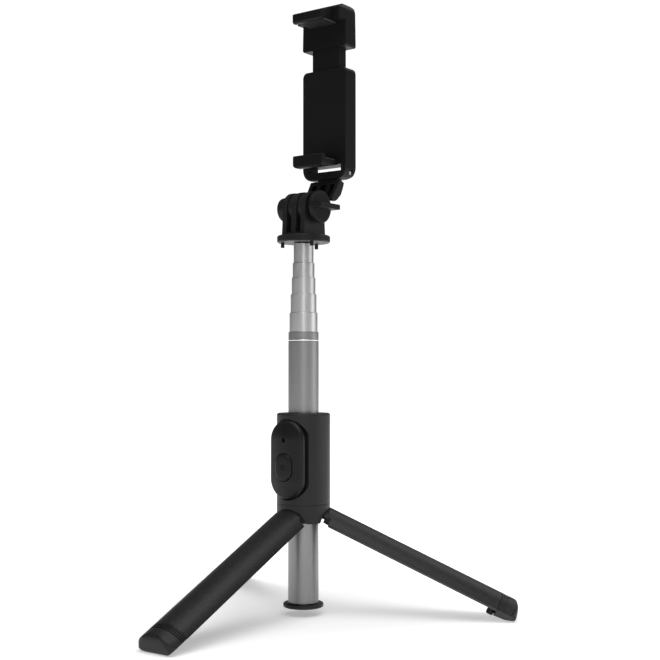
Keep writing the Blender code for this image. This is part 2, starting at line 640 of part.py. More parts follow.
def make_neck(head):
    pivot = (0.0, 0.0, KNUCKLE_HEIGHT)
    knuckle = empty("knuckle_hinge", head, pivot)
    block = prism(neck_profile()[::-1], -NECK_HALF_WIDTH, NECK_HALF_WIDTH, along="x")
    neck = piece("neck_bracket", block, knuckle, BLACK_PLASTIC, 0.5, origin=pivot)
    for low, high in ((-7.1, -4.2), (-1.8, 1.8), (4.2, 7.1)):
        combine(neck, prism(neck_hollow(), low * MM, high * MM, along="x"), origin=pivot)
    for side in (-1.0, 1.0):
        edges = sorted((side * 1.8 * MM, side * 4.2 * MM))
        eye = arc((0.0, KNUCKLE_HEIGHT), PRONG_RADIUS, 80.0, 310.0, 21)
        root_points = ((15.8, 211.0), (19.2, 214.8), (18.6, 219.6), (14.4, 214.4))
        arm = eye + [(y * MM, z * MM) for y, z in root_points]
        combine(neck, prism(arm, edges[0], edges[1], along="x"), "UNION", origin=pivot)
    riser_back = CLAMP_PIN[0] + 2.0 * MM
    riser = box((-6.0 * MM, 6.0 * MM), (20.3 * MM, riser_back), (NECK_TOP - 1.5 * MM, CLAMP_PIN[1]))
    combine(neck, riser, "UNION", origin=pivot)
    barrel = cylinder(BARREL_RADIUS, -6.0 * MM, 6.0 * MM, 24)
    combine(neck, along_x(barrel, (0.0, CLAMP_PIN[0], CLAMP_PIN[1])), "UNION", origin=pivot)
    pin_hole = cylinder(1.0 * MM + GAP, -7.0 * MM, 7.0 * MM, 16)
    combine(neck, along_x(pin_hole, (0.0, CLAMP_PIN[0], CLAMP_PIN[1])), origin=pivot)
    bolt_hole = cylinder(BOLT_HOLE_RADIUS, -6.0 * MM, 6.0 * MM, 20)
    combine(neck, along_x(bolt_hole, pivot), origin=pivot)
    return knuckle


def base_outline():
    """Front view (x, z) of the clamp's base: large round corners below, small ones above."""
    points = []
    lower, upper = CLAMP_CORNERS
    corners = ((1.0, lower, -90.0), (1.0, upper, 0.0), (-1.0, upper, 90.0), (-1.0, lower, 180.0))
    for side, radius, start in corners:
        height = CLAMP_BOTTOM + radius if radius == lower else CLAMP_BASE_TOP - radius
        points += arc((side * (CLAMP_HALF_WIDTH - radius), height), radius, start, start + 90.0, 8)
    return points


def lower_lip_profile():
    """Side view (y, z) of the lower jaw: a lip in front, and a tray with a ledge at its back."""
    front, inside, back = LIP_FRONT, LIP_FRONT + 2.9 * MM, CLAMP_FRONT + MM
    tray = GRIP_LOW - PAD_THICKNESS
    return [
        (back, WINDOW[1]), (back, GRIP_LOW), (LEDGE_FRONT, GRIP_LOW), (LEDGE_FRONT, tray), (inside, tray),
        (inside, LIP_HIGH), (front + 0.6 * MM, LIP_HIGH), (front, LIP_HIGH - 0.8 * MM),
        (front, LIP_LOW + 0.8 * MM), (front + 0.8 * MM, LIP_LOW), (inside + MM, LIP_LOW),
    ]


def lip_corner(side):
    """What the lower lip's round bottom corner leaves free, as an outline (x, z)."""
    radius = 2.0 * MM
    middle = (LIP_HALF_WIDTH - radius, LIP_LOW + radius)
    points = arc(middle, radius, 0.0, -90.0, 6)
    outside, below = LIP_HALF_WIDTH + MM, LIP_LOW - MM
    points += [(middle[0], below), (outside, below), (outside, middle[1])]
    return [(side * x, z) for x, z in points]


def make_clamp(knuckle):
    axis = (0.0, CLAMP_PIN[0], CLAMP_PIN[1])
    hinge = empty("clamp_hinge", knuckle, (0.0, CLAMP_PIN[0], CLAMP_PIN[1] - KNUCKLE_HEIGHT))
    body = prism(base_outline(), CLAMP_FRONT, CLAMP_BACK, along="y", edge=0.6 * MM)
    base = piece("clamp_base", body, hinge, BLACK_PLASTIC, 0.5, origin=axis)
    lip = prism(lower_lip_profile()[::-1], -LIP_HALF_WIDTH, LIP_HALF_WIDTH, along="x")
    combine(base, lip, "UNION", origin=axis)
    for side in (-1.0, 1.0):
        corner = prism(lip_corner(side), LIP_FRONT - MM, CLAMP_FRONT - GAP, along="y")
        combine(base, corner, origin=axis)
    before, behind, sill, head = CLAMP_FRONT - MM, CLAMP_BACK + MM, WINDOW[0], WINDOW[1]
    window = [(before, WINDOW_SILL - 0.15 * MM), (21.5 * MM, sill)]
    window += [(behind, sill), (behind, head), (before, head)]
    combine(base, prism(window, -10.9 * MM, 10.9 * MM, along="x"), origin=axis)
    heel = [(27.9, 217.0), (27.9, 225.8), (23.4, 220.6), (23.4, 217.0)]
    heel = [(y * MM, z * MM) for y, z in heel]
    combine(base, prism(heel, -20.0 * MM, 20.0 * MM, along="x"), origin=axis)
    slot = box((-6.4 * MM, 6.4 * MM), (19.4 * MM, CLAMP_BACK + MM), (218.0 * MM, WINDOW[0] + 0.4 * MM))
    combine(base, slot, origin=axis)
    roof = CLAMP_BASE_TOP - 3.4 * MM
    cavity = box((-11.9 * MM, 11.9 * MM), (18.6 * MM, CLAMP_BACK + MM), (231.0 * MM, roof))
    combine(base, cavity, origin=axis)
    mouth = box((-8.9 * MM, 8.9 * MM), (18.6 * MM, 25.3 * MM), (270.0 * MM, CLAMP_BASE_TOP + MM))
    combine(base, mouth, origin=axis)
    pin_hole = cylinder(1.0 * MM + GAP, -CLAMP_HALF_WIDTH - MM, CLAMP_HALF_WIDTH + MM, 16)
    combine(base, along_x(pin_hole, axis), origin=axis)
    pit_floor = CLAMP_HALF_WIDTH - PIN_PIT[1]
    for low, high in ((-CLAMP_HALF_WIDTH - MM, -pit_floor), (pit_floor, CLAMP_HALF_WIDTH + MM)):
        combine(base, along_x(cylinder(PIN_PIT[0], low, high, 20), axis), origin=axis)

    pin = cylinder(1.0 * MM, -pit_floor, pit_floor, 16)
    piece("clamp_hinge_pin", along_x(pin, axis), hinge, BRIGHT_STEEL, 0.3, 1.0, origin=axis)
    plate = rounded(11.6 * MM, 22.4 * MM, 1.5 * MM, 4, (0.0, 253.8 * MM))
    cover = prism(plate, 25.4 * MM, CLAMP_BACK, along="y", edge=0.3 * MM)
    piece("clamp_back_cover", cover, hinge, BLACK_PLASTIC, 0.5, origin=axis)
    pad = box(
        (-LIP_HALF_WIDTH + 0.5 * MM, LIP_HALF_WIDTH - 0.5 * MM), (LIP_FRONT + 3.2 * MM, LEDGE_FRONT - GAP),
        (GRIP_LOW - PAD_THICKNESS + GAP, GRIP_LOW),
    )
    piece("lower_pad", pad, hinge, RUBBER, 0.8, origin=axis)
    for side, name in ((-1.0, "left"), (1.0, "right")):
        spring = cylinder(1.2 * MM, 231.4 * MM, 261.2 * MM, 10)
        spring = moved(spring, Matrix.Translation((side * 10.2 * MM, 21.5 * MM, 0.0)))
        piece(f"clamp_spring_{name}", spring, hinge, BRIGHT_STEEL, 0.3, 1.0, origin=axis)
    return hinge


def make_upper_jaw(clamp_hinge):
    axis = (0.0, CLAMP_PIN[0], CLAMP_PIN[1])
    slide = empty("jaw_slide", clamp_hinge)
    body = [
        (26.7, 291.0), (26.7, 309.0), (26.0, 311.5), (24.0, 313.3), (20.0, 313.5), (18.0, 313.2),
        (16.0, 312.0), (13.0, 310.6), (12.2, 310.3), (12.2, 304.1), (17.2, 304.1), (17.2, 291.0),
    ]
    body = [(y * MM, z * MM) for y, z in body]
    block = prism(body, -CLAMP_HALF_WIDTH, CLAMP_HALF_WIDTH, along="x", edge=0.8 * MM)
    jaw = piece("upper_jaw", block, slide, BLACK_PLASTIC, 0.5, origin=axis)
    side, shoulder = CLAMP_HALF_WIDTH + 0.1 * MM, JAW_TOP + 0.1 * MM - JAW_CORNER
    crown = arc((side - JAW_CORNER, shoulder), JAW_CORNER, 0.0, 90.0, 7)
    crown += arc((JAW_CORNER - side, shoulder), JAW_CORNER, 90.0, 180.0, 7)
    crown += [(-side, 290.0 * MM), (side, 290.0 * MM)]
    combine(jaw, prism(crown, 10.0 * MM, 30.0 * MM, along="y"), "INTERSECT", origin=axis)
    lip = [
        (14.0, 304.1), (14.0, 310.8), (8.0, 309.2), (6.0, 308.4), (3.2, 307.5), (2.4, 306.9),
        (2.4, 303.1), (3.2, 302.3), (5.3, 302.3), (5.3, 304.1),
    ]
    lip = [(y * MM, z * MM) for y, z in lip]
    combine(jaw, prism(lip, -9.2 * MM, 9.2 * MM, along="x"), "UNION", origin=axis)
    plate = box((-8.6 * MM, 8.6 * MM), (18.9 * MM, 25.0 * MM), (242.0 * MM, 292.0 * MM))
    combine(jaw, plate, "UNION", origin=axis)
    ears = box((-11.4 * MM, 11.4 * MM), (19.2 * MM, 24.7 * MM), (261.5 * MM, 264.0 * MM))
    combine(jaw, ears, "UNION", origin=axis)
    pad = box(
        (-8.4 * MM, 8.4 * MM), (LIP_FRONT + 3.2 * MM, CLAMP_FRONT - GAP),
        (GRIP_HIGH, GRIP_HIGH + PAD_THICKNESS - GAP),
    )
    piece("upper_pad", pad, slide, RUBBER, 0.8, origin=axis)


# ---- remote -------------------------------------------------------------------------
def remote_ring(inset, y, sides=11):
    outline = stadium(REMOTE_HALF_WIDTH - inset, REMOTE_HALF_HEIGHT - inset, sides, (0.0, REMOTE_CENTRE))
    return [(x, y, z) for x, z in outline]


def make_remote():
    remote = empty("remote_lift", root)
    face_inset = 1.8 * MM
    crown = REMOTE_FACE - REMOTE_CROWN
    rings = [remote_ring(0.0, REMOTE_SPLIT), remote_ring(0.0, REMOTE_SPLIT - MM)]
    rings.append(remote_ring(face_inset, REMOTE_FACE))
    for share in (0.35, 0.7, 0.9):
        inset = face_inset + share * (REMOTE_HALF_WIDTH - face_inset - 0.2 * MM)
        rings.append(remote_ring(inset, REMOTE_FACE - crown * (1.0 - (1.0 - share) ** 2)))
    front = piece("remote_front_shell", loft(rings), remote, BLACK_PLASTIC, 0.45)
    inner_size = (REMOTE_HALF_WIDTH - REMOTE_WALL, REMOTE_HALF_HEIGHT - REMOTE_WALL)
    cavity = stadium(*inner_size, 11, (0.0, REMOTE_CENTRE))
    combine(front, prism(cavity, -14.0 * MM, REMOTE_SPLIT + MM, along="y"))
    width, height = BUTTON_HALF_SIZE
    opening = stadium(width + GAP, height + GAP, 11, (0.0, BUTTON_CENTRE))
    combine(front, prism(opening, -18.0 * MM, -13.0 * MM, along="y"))
    led_hole = cylinder(1.0 * MM, -18.0 * MM, -13.0 * MM, 12)
    combine(front, along_y(led_hole, (0.0, 0.0, LED_HEIGHT)))

    back_rings = [remote_ring(2.0 * MM, REMOTE_BACK), remote_ring(0.25 * MM, REMOTE_SPLIT + GAP)]
    back = piece("remote_back_shell", loft(back_rings), remote, BLACK_PLASTIC, 0.5)
    for wall, floor in ((REMOTE_WALL, -11.3 * MM), (2.0 * REMOTE_WALL, -10.0 * MM)):
        room = stadium(REMOTE_HALF_WIDTH - wall, REMOTE_HALF_HEIGHT - wall, 11, (0.0, REMOTE_CENTRE))
        combine(back, prism(room, REMOTE_SPLIT - MM, floor, along="y"))

    press = empty("button_press", remote)
    outline = stadium(width, height, 11, (0.0, BUTTON_CENTRE))
    cap = prism(outline, -16.9 * MM, -13.5 * MM, along="y", edge=0.4 * MM)
    button = piece("remote_button", cap, press, SOFT_BLACK, 0.5)
    outline = stadium(width + 0.9 * MM, height + 0.9 * MM, 11, (0.0, BUTTON_CENTRE))
    flange = prism(outline, -13.7 * MM, -13.1 * MM, along="y")
    combine(button, flange, "UNION")
    lens = cylinder(0.7 * MM, -16.0 * MM, -12.4 * MM, 12)
    piece("led_lens", along_y(lens, (0.0, 0.0, LED_HEIGHT)), remote, (0.02, 0.02, 0.02), 0.15)
    switch = cylinder(2.2 * MM, -12.7 * MM, -12.35 * MM, 16)
    piece("shutter_switch", along_y(switch, (0.0, 0.0, BUTTON_CENTRE)), remote, BRIGHT_STEEL, 0.3, 1.0)
    board = stadium(8.3 * MM, 17.9 * MM, 9, (0.0, REMOTE_CENTRE))
    slab = prism(board, -12.05 * MM, -11.65 * MM, along="y")
    piece("circuit_board", slab, remote, (0.02, 0.12, 0.06), 0.5)
    cell = cylinder(7.2 * MM, -11.35 * MM, -10.3 * MM, 32)
    piece("coin_cell", along_y(cell, (0.0, 0.0, REMOTE_CENTRE)), remote, BRIGHT_STEEL, 0.25, 1.0)


make_dock_housing()
make_leg_hub()
make_friction_ring()
for leg_side, leg_azimuth in LEG_AZIMUTHS.items():
    make_leg(leg_side, leg_azimuth)
last_section = make_pole()
head_empty = make_head(last_section)
neck_empty = make_neck(head_empty)
clamp_empty = make_clamp(neck_empty)
make_upper_jaw(clamp_empty)
make_remote()
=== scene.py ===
"""Looks of the telescopic selfie stick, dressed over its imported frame.

Shapes are drawn in millimetres about the pole's axis (+Z up, front at -Y) and then moved
to the row frame, where the footprint is centred on the origin.
"""

import math

import bmesh
import bpy
from mathutils import Matrix, Vector


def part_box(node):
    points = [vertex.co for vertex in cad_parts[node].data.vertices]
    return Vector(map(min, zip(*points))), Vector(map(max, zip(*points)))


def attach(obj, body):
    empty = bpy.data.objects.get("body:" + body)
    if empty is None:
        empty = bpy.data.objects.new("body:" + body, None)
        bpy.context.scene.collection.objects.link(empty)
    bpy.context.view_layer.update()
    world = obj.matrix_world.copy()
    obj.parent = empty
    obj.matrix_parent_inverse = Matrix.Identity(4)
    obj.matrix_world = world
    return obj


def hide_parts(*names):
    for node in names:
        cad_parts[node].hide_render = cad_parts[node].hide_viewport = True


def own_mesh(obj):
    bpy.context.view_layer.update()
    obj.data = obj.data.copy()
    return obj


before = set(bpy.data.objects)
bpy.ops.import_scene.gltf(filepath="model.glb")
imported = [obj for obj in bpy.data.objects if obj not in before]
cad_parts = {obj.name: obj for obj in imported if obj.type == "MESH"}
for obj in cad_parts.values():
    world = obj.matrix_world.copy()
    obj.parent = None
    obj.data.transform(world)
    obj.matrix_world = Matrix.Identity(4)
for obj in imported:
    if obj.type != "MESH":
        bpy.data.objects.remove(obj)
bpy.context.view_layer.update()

# ---- sizes, in millimetres ----------------------------------------------------------
FOOTPRINT_SHIFT = 22.73
ROW_FRAME = Matrix.Translation((0.0, FOOTPRINT_SHIFT / 1000.0, 0.0)) @ Matrix.Scale(0.001, 4)

BODY_RADIUS = 13.5
BORE_RADIUS = 8.05
HOUSING = (55.66, 101.1)
DOCK_FLAT = -8.9
PIN_CIRCLE = 10.8
PIN_AZIMUTHS = (90.0, -30.0, 210.0)

LEG_AZIMUTHS = {"front": -90.0, "right": 30.0, "left": 150.0}
LEG_PIVOT = (10.5, 51.7)
LEG_SPREAD = 64.4
LEG_INNER_RADIUS = 10.6
LEG_HALF_ANGLE = 58.5
SHELL_END = 97.2
FOOT_GROOVES = (0.5, 1.6, 2.7)

MAIN_TUBE = (7.70, 7.42, 6.1, 137.6)
COLLAR = (7.70, 7.42, 137.9, 142.1)
INNER_TUBES = (
    (7.15, 6.87, 24.0, 151.9),
    (6.60, 6.32, 33.0, 161.2),
    (6.05, 5.80, 41.2, 169.7),
    (5.55, 5.30, 48.4, 177.2),
    (5.05, 4.70, 58.4, 187.1),
)
KNUCKLE_HEIGHT = 205.2
KNOB_RADIUS = 8.3
REMOTE_CENTRE = 78.2
REMOTE_HALF = (10.2, 19.8)
BUTTON_CENTRE = 74.6
BUTTON_HALF = (5.0, 6.8)
LED_HEIGHT = 88.0
GRIP_LOW = 231.6
GRIP_HIGH = 303.1
SPRING_SPAN = (231.4, 261.2)
SPRING_PLACE = (10.2, 21.5)
SPRING_END = 0.25
SEAT = (10.7, 57.8)
PIN_HOLE = (1.25, 2.8)
GROOVE_DEPTH = 0.5
GROOVE_WIDTH = 0.68
REMOTE_WALL = 1.3
CLEARANCE = 0.3
BARREL_SLACK = 0.08

# ---- angles, in degrees -------------------------------------------------------------
SMOOTH_ANGLE = 34.0
BEVEL_ANGLE = 32.0
FLAT_ANGLE = 0.6
BARREL_TILT = 9.0


# ---- camera, floor and light --------------------------------------------------------
def look_from(azimuth, distance, height, yaw, pitch, lens):
    """The camera stands at an azimuth round the pole, 0 at the front, and looks at it."""
    turn = math.radians(azimuth)
    inward = Vector((-math.sin(turn), math.cos(turn), 0.0))
    across = Vector((math.cos(turn), math.sin(turn), 0.0))
    aside = math.radians(yaw)
    forward = inward * math.cos(aside) + across * math.sin(aside)
    right = across * math.cos(aside) - inward * math.sin(aside)
    rise = math.radians(pitch)
    view = forward * math.cos(rise) + Vector((0.0, 0.0, 1.0)) * math.sin(rise)
    up = right.cross(view)
    data = bpy.data.cameras.new("studio_camera")
    data.sensor_width = 36.0
    data.lens = lens
    data.clip_start = 0.01
    camera = bpy.data.objects.new("studio_camera", data)
    bpy.context.scene.collection.objects.link(camera)
    axes = Matrix((right, up, -view)).transposed().to_4x4()
    stand = -inward * distance + Vector((0.0, FOOTPRINT_SHIFT, height))
    camera.matrix_world = Matrix.Translation(stand / 1000.0) @ axes
    bpy.context.scene.camera = camera


def softbox(name, at, aim, size, power):
    data = bpy.data.lights.new(name, "AREA")
    data.shape = "RECTANGLE"
    data.size, data.size_y = size
    data.energy = power
    lamp = bpy.data.objects.new(name, data)
    bpy.context.scene.collection.objects.link(lamp)
    lamp.location = at
    lamp.rotation_euler = (Vector(aim) - Vector(at)).to_track_quat("-Z", "Y").to_euler()


def white_world():
    """White behind the object, and a dimmer surround for what it reflects."""
    world = bpy.data.worlds.new("white_studio")
    world.use_nodes = True
    nodes, links = world.node_tree.nodes, world.node_tree.links
    seen = nodes.new("ShaderNodeLightPath")
    backdrop = nodes["Background"]
    backdrop.inputs["Color"].default_value = (1.0, 1.0, 1.0, 1.0)
    backdrop.inputs["Strength"].default_value = 1.05
    surround = nodes.new("ShaderNodeBackground")
    surround.inputs["Color"].default_value = (1.0, 1.0, 1.0, 1.0)
    surround.inputs["Strength"].default_value = 0.14
    choose = nodes.new("ShaderNodeMixShader")
    links.new(seen.outputs["Is Camera Ray"], choose.inputs[0])
    links.new(surround.outputs[0], choose.inputs[1])
    links.new(backdrop.outputs[0], choose.inputs[2])
    links.new(choose.outputs[0], nodes["World Output"].inputs["Surface"])
    bpy.context.scene.world = world


def glowing_paper_painted_shade():
    """White paper that glows, with painted shade: the glow is weakest at the pole's foot and rises with
    distance, so the floor is darker round the tripod, shadows stay soft and the far floor is white.
    """
    paper, net, shader = new_material("white_paper")
    shader.inputs["Base Color"].default_value = (0.93, 0.93, 0.93, 1.0)
    shader.inputs["Roughness"].default_value = 0.9
    away = net.add("ShaderNodeVectorMath", operation="LENGTH")
    net.link(net.add("ShaderNodeTexCoord").outputs["Object"], away.inputs[0])
    # Painted shade: the glow runs from 0.34 at the centre to 0.95 from 0.3 m out, so the floor round the
    # tripod is darker.
    painted_shade_glow = net.add("ShaderNodeMapRange", interpolation_type="SMOOTHSTEP")
    net.link(away.outputs["Value"], painted_shade_glow.inputs["Value"])
    painted_shade_glow.inputs["From Min"].default_value = 0.02
    painted_shade_glow.inputs["From Max"].default_value = 0.30
    painted_shade_glow.inputs["To Min"].default_value = 0.34
    painted_shade_glow.inputs["To Max"].default_value = 0.95
    shader.inputs["Emission Color"].default_value = (1.0, 1.0, 1.0, 1.0)
    net.link(painted_shade_glow.outputs["Result"], shader.inputs["Emission Strength"])
    return paper


def build_studio():
    look_from(azimuth=37.73, distance=601.8, height=123.4, yaw=1.28, pitch=1.88, lens=64.6)
    bpy.context.scene.view_settings.view_transform = "Standard"
    floor = bpy.data.meshes.new("studio_floor")
    reach = 4.0
    sunk = -0.0002
    corners = [(-reach, -reach, sunk), (reach, -reach, sunk), (reach, reach, sunk), (-reach, reach, sunk)]
    floor.from_pydata(corners, [], [(0, 1, 2, 3)])
    plane = bpy.data.objects.new("studio_floor", floor)
    bpy.context.scene.collection.objects.link(plane)
    floor.materials.append(glowing_paper_painted_shade())
    white_world()
    softbox("overhead_box", (0.4, -0.4, 1.55), (0.0, 0.0, 0.0), (1.5, 1.5), 18.0)
    softbox("camera_strip", (0.95, -1.15, 0.55), (0.0, 0.0, 0.2), (0.3, 0.9), 1.8)
    softbox("back_box", (0.2, 1.2, 1.25), (0.0, 0.0, 0.1), (0.9, 0.9), 3.2)
    softbox("back_panel", (-0.85, 1.15, 0.15), (0.0, 0.0, 0.15), (1.7, 0.3), 1.0)
    softbox("right_panel", (1.2, 0.9, 0.2), (0.0, 0.0, 0.15), (1.0, 0.5), 2.3)


# ---- shader groups ------------------------------------------------------------------
class Net:
    """A node tree with a short way to add nodes and links."""

    def __init__(self, tree):
        self.tree = tree

    def add(self, kind, **settings):
        node = self.tree.nodes.new(kind)
        for key, value in settings.items():
            setattr(node, key, value)
        return node

    def link(self, source, target):
        self.tree.links.new(source, target)

    def maths(self, operation, first, second=None, third=None):
        node = self.add("ShaderNodeMath", operation=operation)
        for socket, value in zip(node.inputs, (first, second, third)):
            if value is None:
                continue
            if isinstance(value, (int, float)):
                socket.default_value = value
            else:
                self.link(value, socket)
        return node.outputs[0]

    def mix(self, factor, first, second):
        node = self.add("ShaderNodeMix", data_type="RGBA")
        for index, value in ((0, factor), (6, first), (7, second)):
            if isinstance(value, tuple):
                node.inputs[index].default_value = (*value, 1.0)
            elif isinstance(value, (int, float)):
                node.inputs[index].default_value = value
            else:
                self.link(value, node.inputs[index])
        return node.outputs[2]

    def noise(self, vector, scale, detail=3.0, roughness=0.6):
        node = self.add("ShaderNodeTexNoise")
        self.link(vector, node.inputs["Vector"])
        if isinstance(scale, (int, float)):
            node.inputs["Scale"].default_value = scale
        else:
            self.link(scale, node.inputs["Scale"])
        node.inputs["Detail"].default_value = detail
        node.inputs["Roughness"].default_value = roughness
        return node.outputs["Fac"]


def shader_group(name, inputs, outputs):
    tree = bpy.data.node_groups.new(name, "ShaderNodeTree")
    for label, default in inputs:
        socket = tree.interface.new_socket(label, in_out="INPUT", socket_type="NodeSocketFloat")
        socket.default_value = default
    for label in outputs:
        tree.interface.new_socket(label, in_out="OUTPUT", socket_type="NodeSocketFloat")
    net = Net(tree)
    return net, net.add("NodeGroupInput"), net.add("NodeGroupOutput")


def make_moulded_grain():
    """Fine spark-eroded grain of a moulded shell, with slow drifts of tone and gloss."""
    net, given, result = shader_group(
        "moulded_grain", [("Grain Scale", 2600.0), ("Drift Scale", 45.0)], ["Tone", "Gloss", "Height"]
    )
    place = net.add("ShaderNodeTexCoord").outputs["Object"]
    grain = net.noise(place, given.outputs["Grain Scale"], 2.0, 0.7)
    drift = net.noise(place, given.outputs["Drift Scale"], 4.0, 0.55)
    speckle = net.add("ShaderNodeTexVoronoi", feature="F1")
    net.link(place, speckle.inputs["Vector"])
    net.link(given.outputs["Grain Scale"], speckle.inputs["Scale"])
    height = net.maths("ADD", net.maths("MULTIPLY", grain, 0.65),
                       net.maths("MULTIPLY", speckle.outputs["Distance"], 0.5))
    net.link(drift, result.inputs["Tone"])
    net.link(net.maths("MULTIPLY_ADD", grain, 0.5, net.maths("MULTIPLY", drift, 0.5)),
             result.inputs["Gloss"])
    net.link(height, result.inputs["Height"])
    return net.tree


def make_edge_wear():
    """A mask of the rubbed outer edges, broken up by noise."""
    net, given, result = shader_group("edge_wear", [("Reach", 0.06), ("Patch Scale", 160.0)], ["Worn"])
    place = net.add("ShaderNodeTexCoord").outputs["Object"]
    bulge = net.maths("SUBTRACT", net.add("ShaderNodeNewGeometry").outputs["Pointiness"], 0.5)
    edge = net.add("ShaderNodeMapRange", interpolation_type="SMOOTHSTEP")
    net.link(bulge, edge.inputs["Value"])
    edge.inputs["From Min"].default_value = 0.004
    net.link(given.outputs["Reach"], edge.inputs["From Max"])
    patch = net.noise(place, given.outputs["Patch Scale"], 3.0, 0.6)
    net.link(net.maths("MULTIPLY", edge.outputs["Result"], net.maths("MULTIPLY_ADD", patch, 0.9, 0.25)),
             result.inputs["Worn"])
    return net.tree


def make_settled_dust():
    """A faint mask of dust on what faces up."""
    net, given, result = shader_group("settled_dust", [("Cover", 0.15), ("Mote Scale", 900.0)], ["Dust"])
    place = net.add("ShaderNodeTexCoord").outputs["Object"]
    split = net.add("ShaderNodeSeparateXYZ")
    net.link(net.add("ShaderNodeNewGeometry").outputs["Normal"], split.inputs[0])
    up = net.maths("MAXIMUM", split.outputs["Z"], 0.0)
    motes = net.maths("POWER", net.noise(place, given.outputs["Mote Scale"], 2.0, 0.5), 3.0)
    net.link(net.maths("MULTIPLY", net.maths("MULTIPLY", up, motes), given.outputs["Cover"]),
             result.inputs["Dust"])
    return net.tree


def make_drawn_steel():
    """Hairlines of a drawn and brushed tube: long along Z and fine around it."""
    net, given, result = shader_group("drawn_steel", [("Line Scale", 5200.0), ("Stretch", 0.012)],
                                      ["Line", "Smudge"])
    place = net.add("ShaderNodeTexCoord").outputs["Object"]
    squeeze = net.add("ShaderNodeVectorMath", operation="MULTIPLY")
    net.link(place, squeeze.inputs[0])
    ratio = net.add("ShaderNodeCombineXYZ")
    ratio.inputs["X"].default_value = 1.0
    ratio.inputs["Y"].default_value = 1.0
    net.link(given.outputs["Stretch"], ratio.inputs["Z"])
    net.link(ratio.outputs[0], squeeze.inputs[1])
    net.link(net.noise(squeeze.outputs[0], given.outputs["Line Scale"], 2.0, 0.65), result.inputs["Line"])
    net.link(net.noise(place, 70.0, 4.0, 0.55), result.inputs["Smudge"])
    return net.tree


GRAIN = make_moulded_grain()
WEAR = make_edge_wear()
DUST = make_settled_dust()
DRAWN = make_drawn_steel()


def group_node(net, tree, **values):
    node = net.add("ShaderNodeGroup", node_tree=tree)
    for label, value in values.items():
        node.inputs[label.replace("_", " ")].default_value = value
    return node.outputs


def new_material(name):
    made = bpy.data.materials.new(name)
    made.use_nodes = True
    net = Net(made.node_tree)
    return made, net, made.node_tree.nodes["Principled BSDF"]


RUBBED = (0.09, 0.09, 0.092)


def moulded(name, dark, light, roughness, worn=RUBBED, grain=2600.0, relief=0.00003, wear=0.03, dust=0.15,
            specular=0.5):
    """A moulded plastic or rubber: grain in its relief, drifting tone, rubbed edges, dust."""
    made, net, shader = new_material(name)
    grains = group_node(net, GRAIN, Grain_Scale=grain)
    colour = net.mix(grains["Tone"], dark, light)
    rubbed = net.maths("MULTIPLY", group_node(net, WEAR)["Worn"], wear)
    colour = net.mix(rubbed, colour, worn)
    colour = net.mix(group_node(net, DUST, Cover=dust)["Dust"], colour, (0.32, 0.31, 0.30))
    net.link(colour, shader.inputs["Base Color"])
    gloss = net.maths("MULTIPLY_ADD", grains["Gloss"], 0.16, roughness - 0.08)
    net.link(net.maths("SUBTRACT", gloss, net.maths("MULTIPLY", rubbed, 0.12)), shader.inputs["Roughness"])
    shader.inputs["Specular IOR Level"].default_value = specular
    bump = net.add("ShaderNodeBump")
    bump.inputs["Strength"].default_value = 0.55
    bump.inputs["Distance"].default_value = relief
    net.link(grains["Height"], bump.inputs["Height"])
    net.link(bump.outputs["Normal"], shader.inputs["Normal"])
    return made


def drawn_metal(name, dark, light, roughness, spread=0.12, line=5200.0, stretch=0.012):
    """Bright drawn metal with hairlines and faint smudges."""
    made, net, shader = new_material(name)
    lines = group_node(net, DRAWN, Line_Scale=line, Stretch=stretch)
    net.link(net.mix(lines["Line"], dark, light), shader.inputs["Base Color"])
    gloss = net.maths("MULTIPLY_ADD", lines["Line"], spread, roughness - spread / 2.0)
    net.link(net.maths("MULTIPLY_ADD", lines["Smudge"], 0.1, gloss), shader.inputs["Roughness"])
    shader.inputs["Metallic"].default_value = 1.0
    bump = net.add("ShaderNodeBump")
    bump.inputs["Strength"].default_value = 0.25
    bump.inputs["Distance"].default_value = 0.000008
    net.link(lines["Line"], bump.inputs["Height"])
    net.link(bump.outputs["Normal"], shader.inputs["Normal"])
    return made


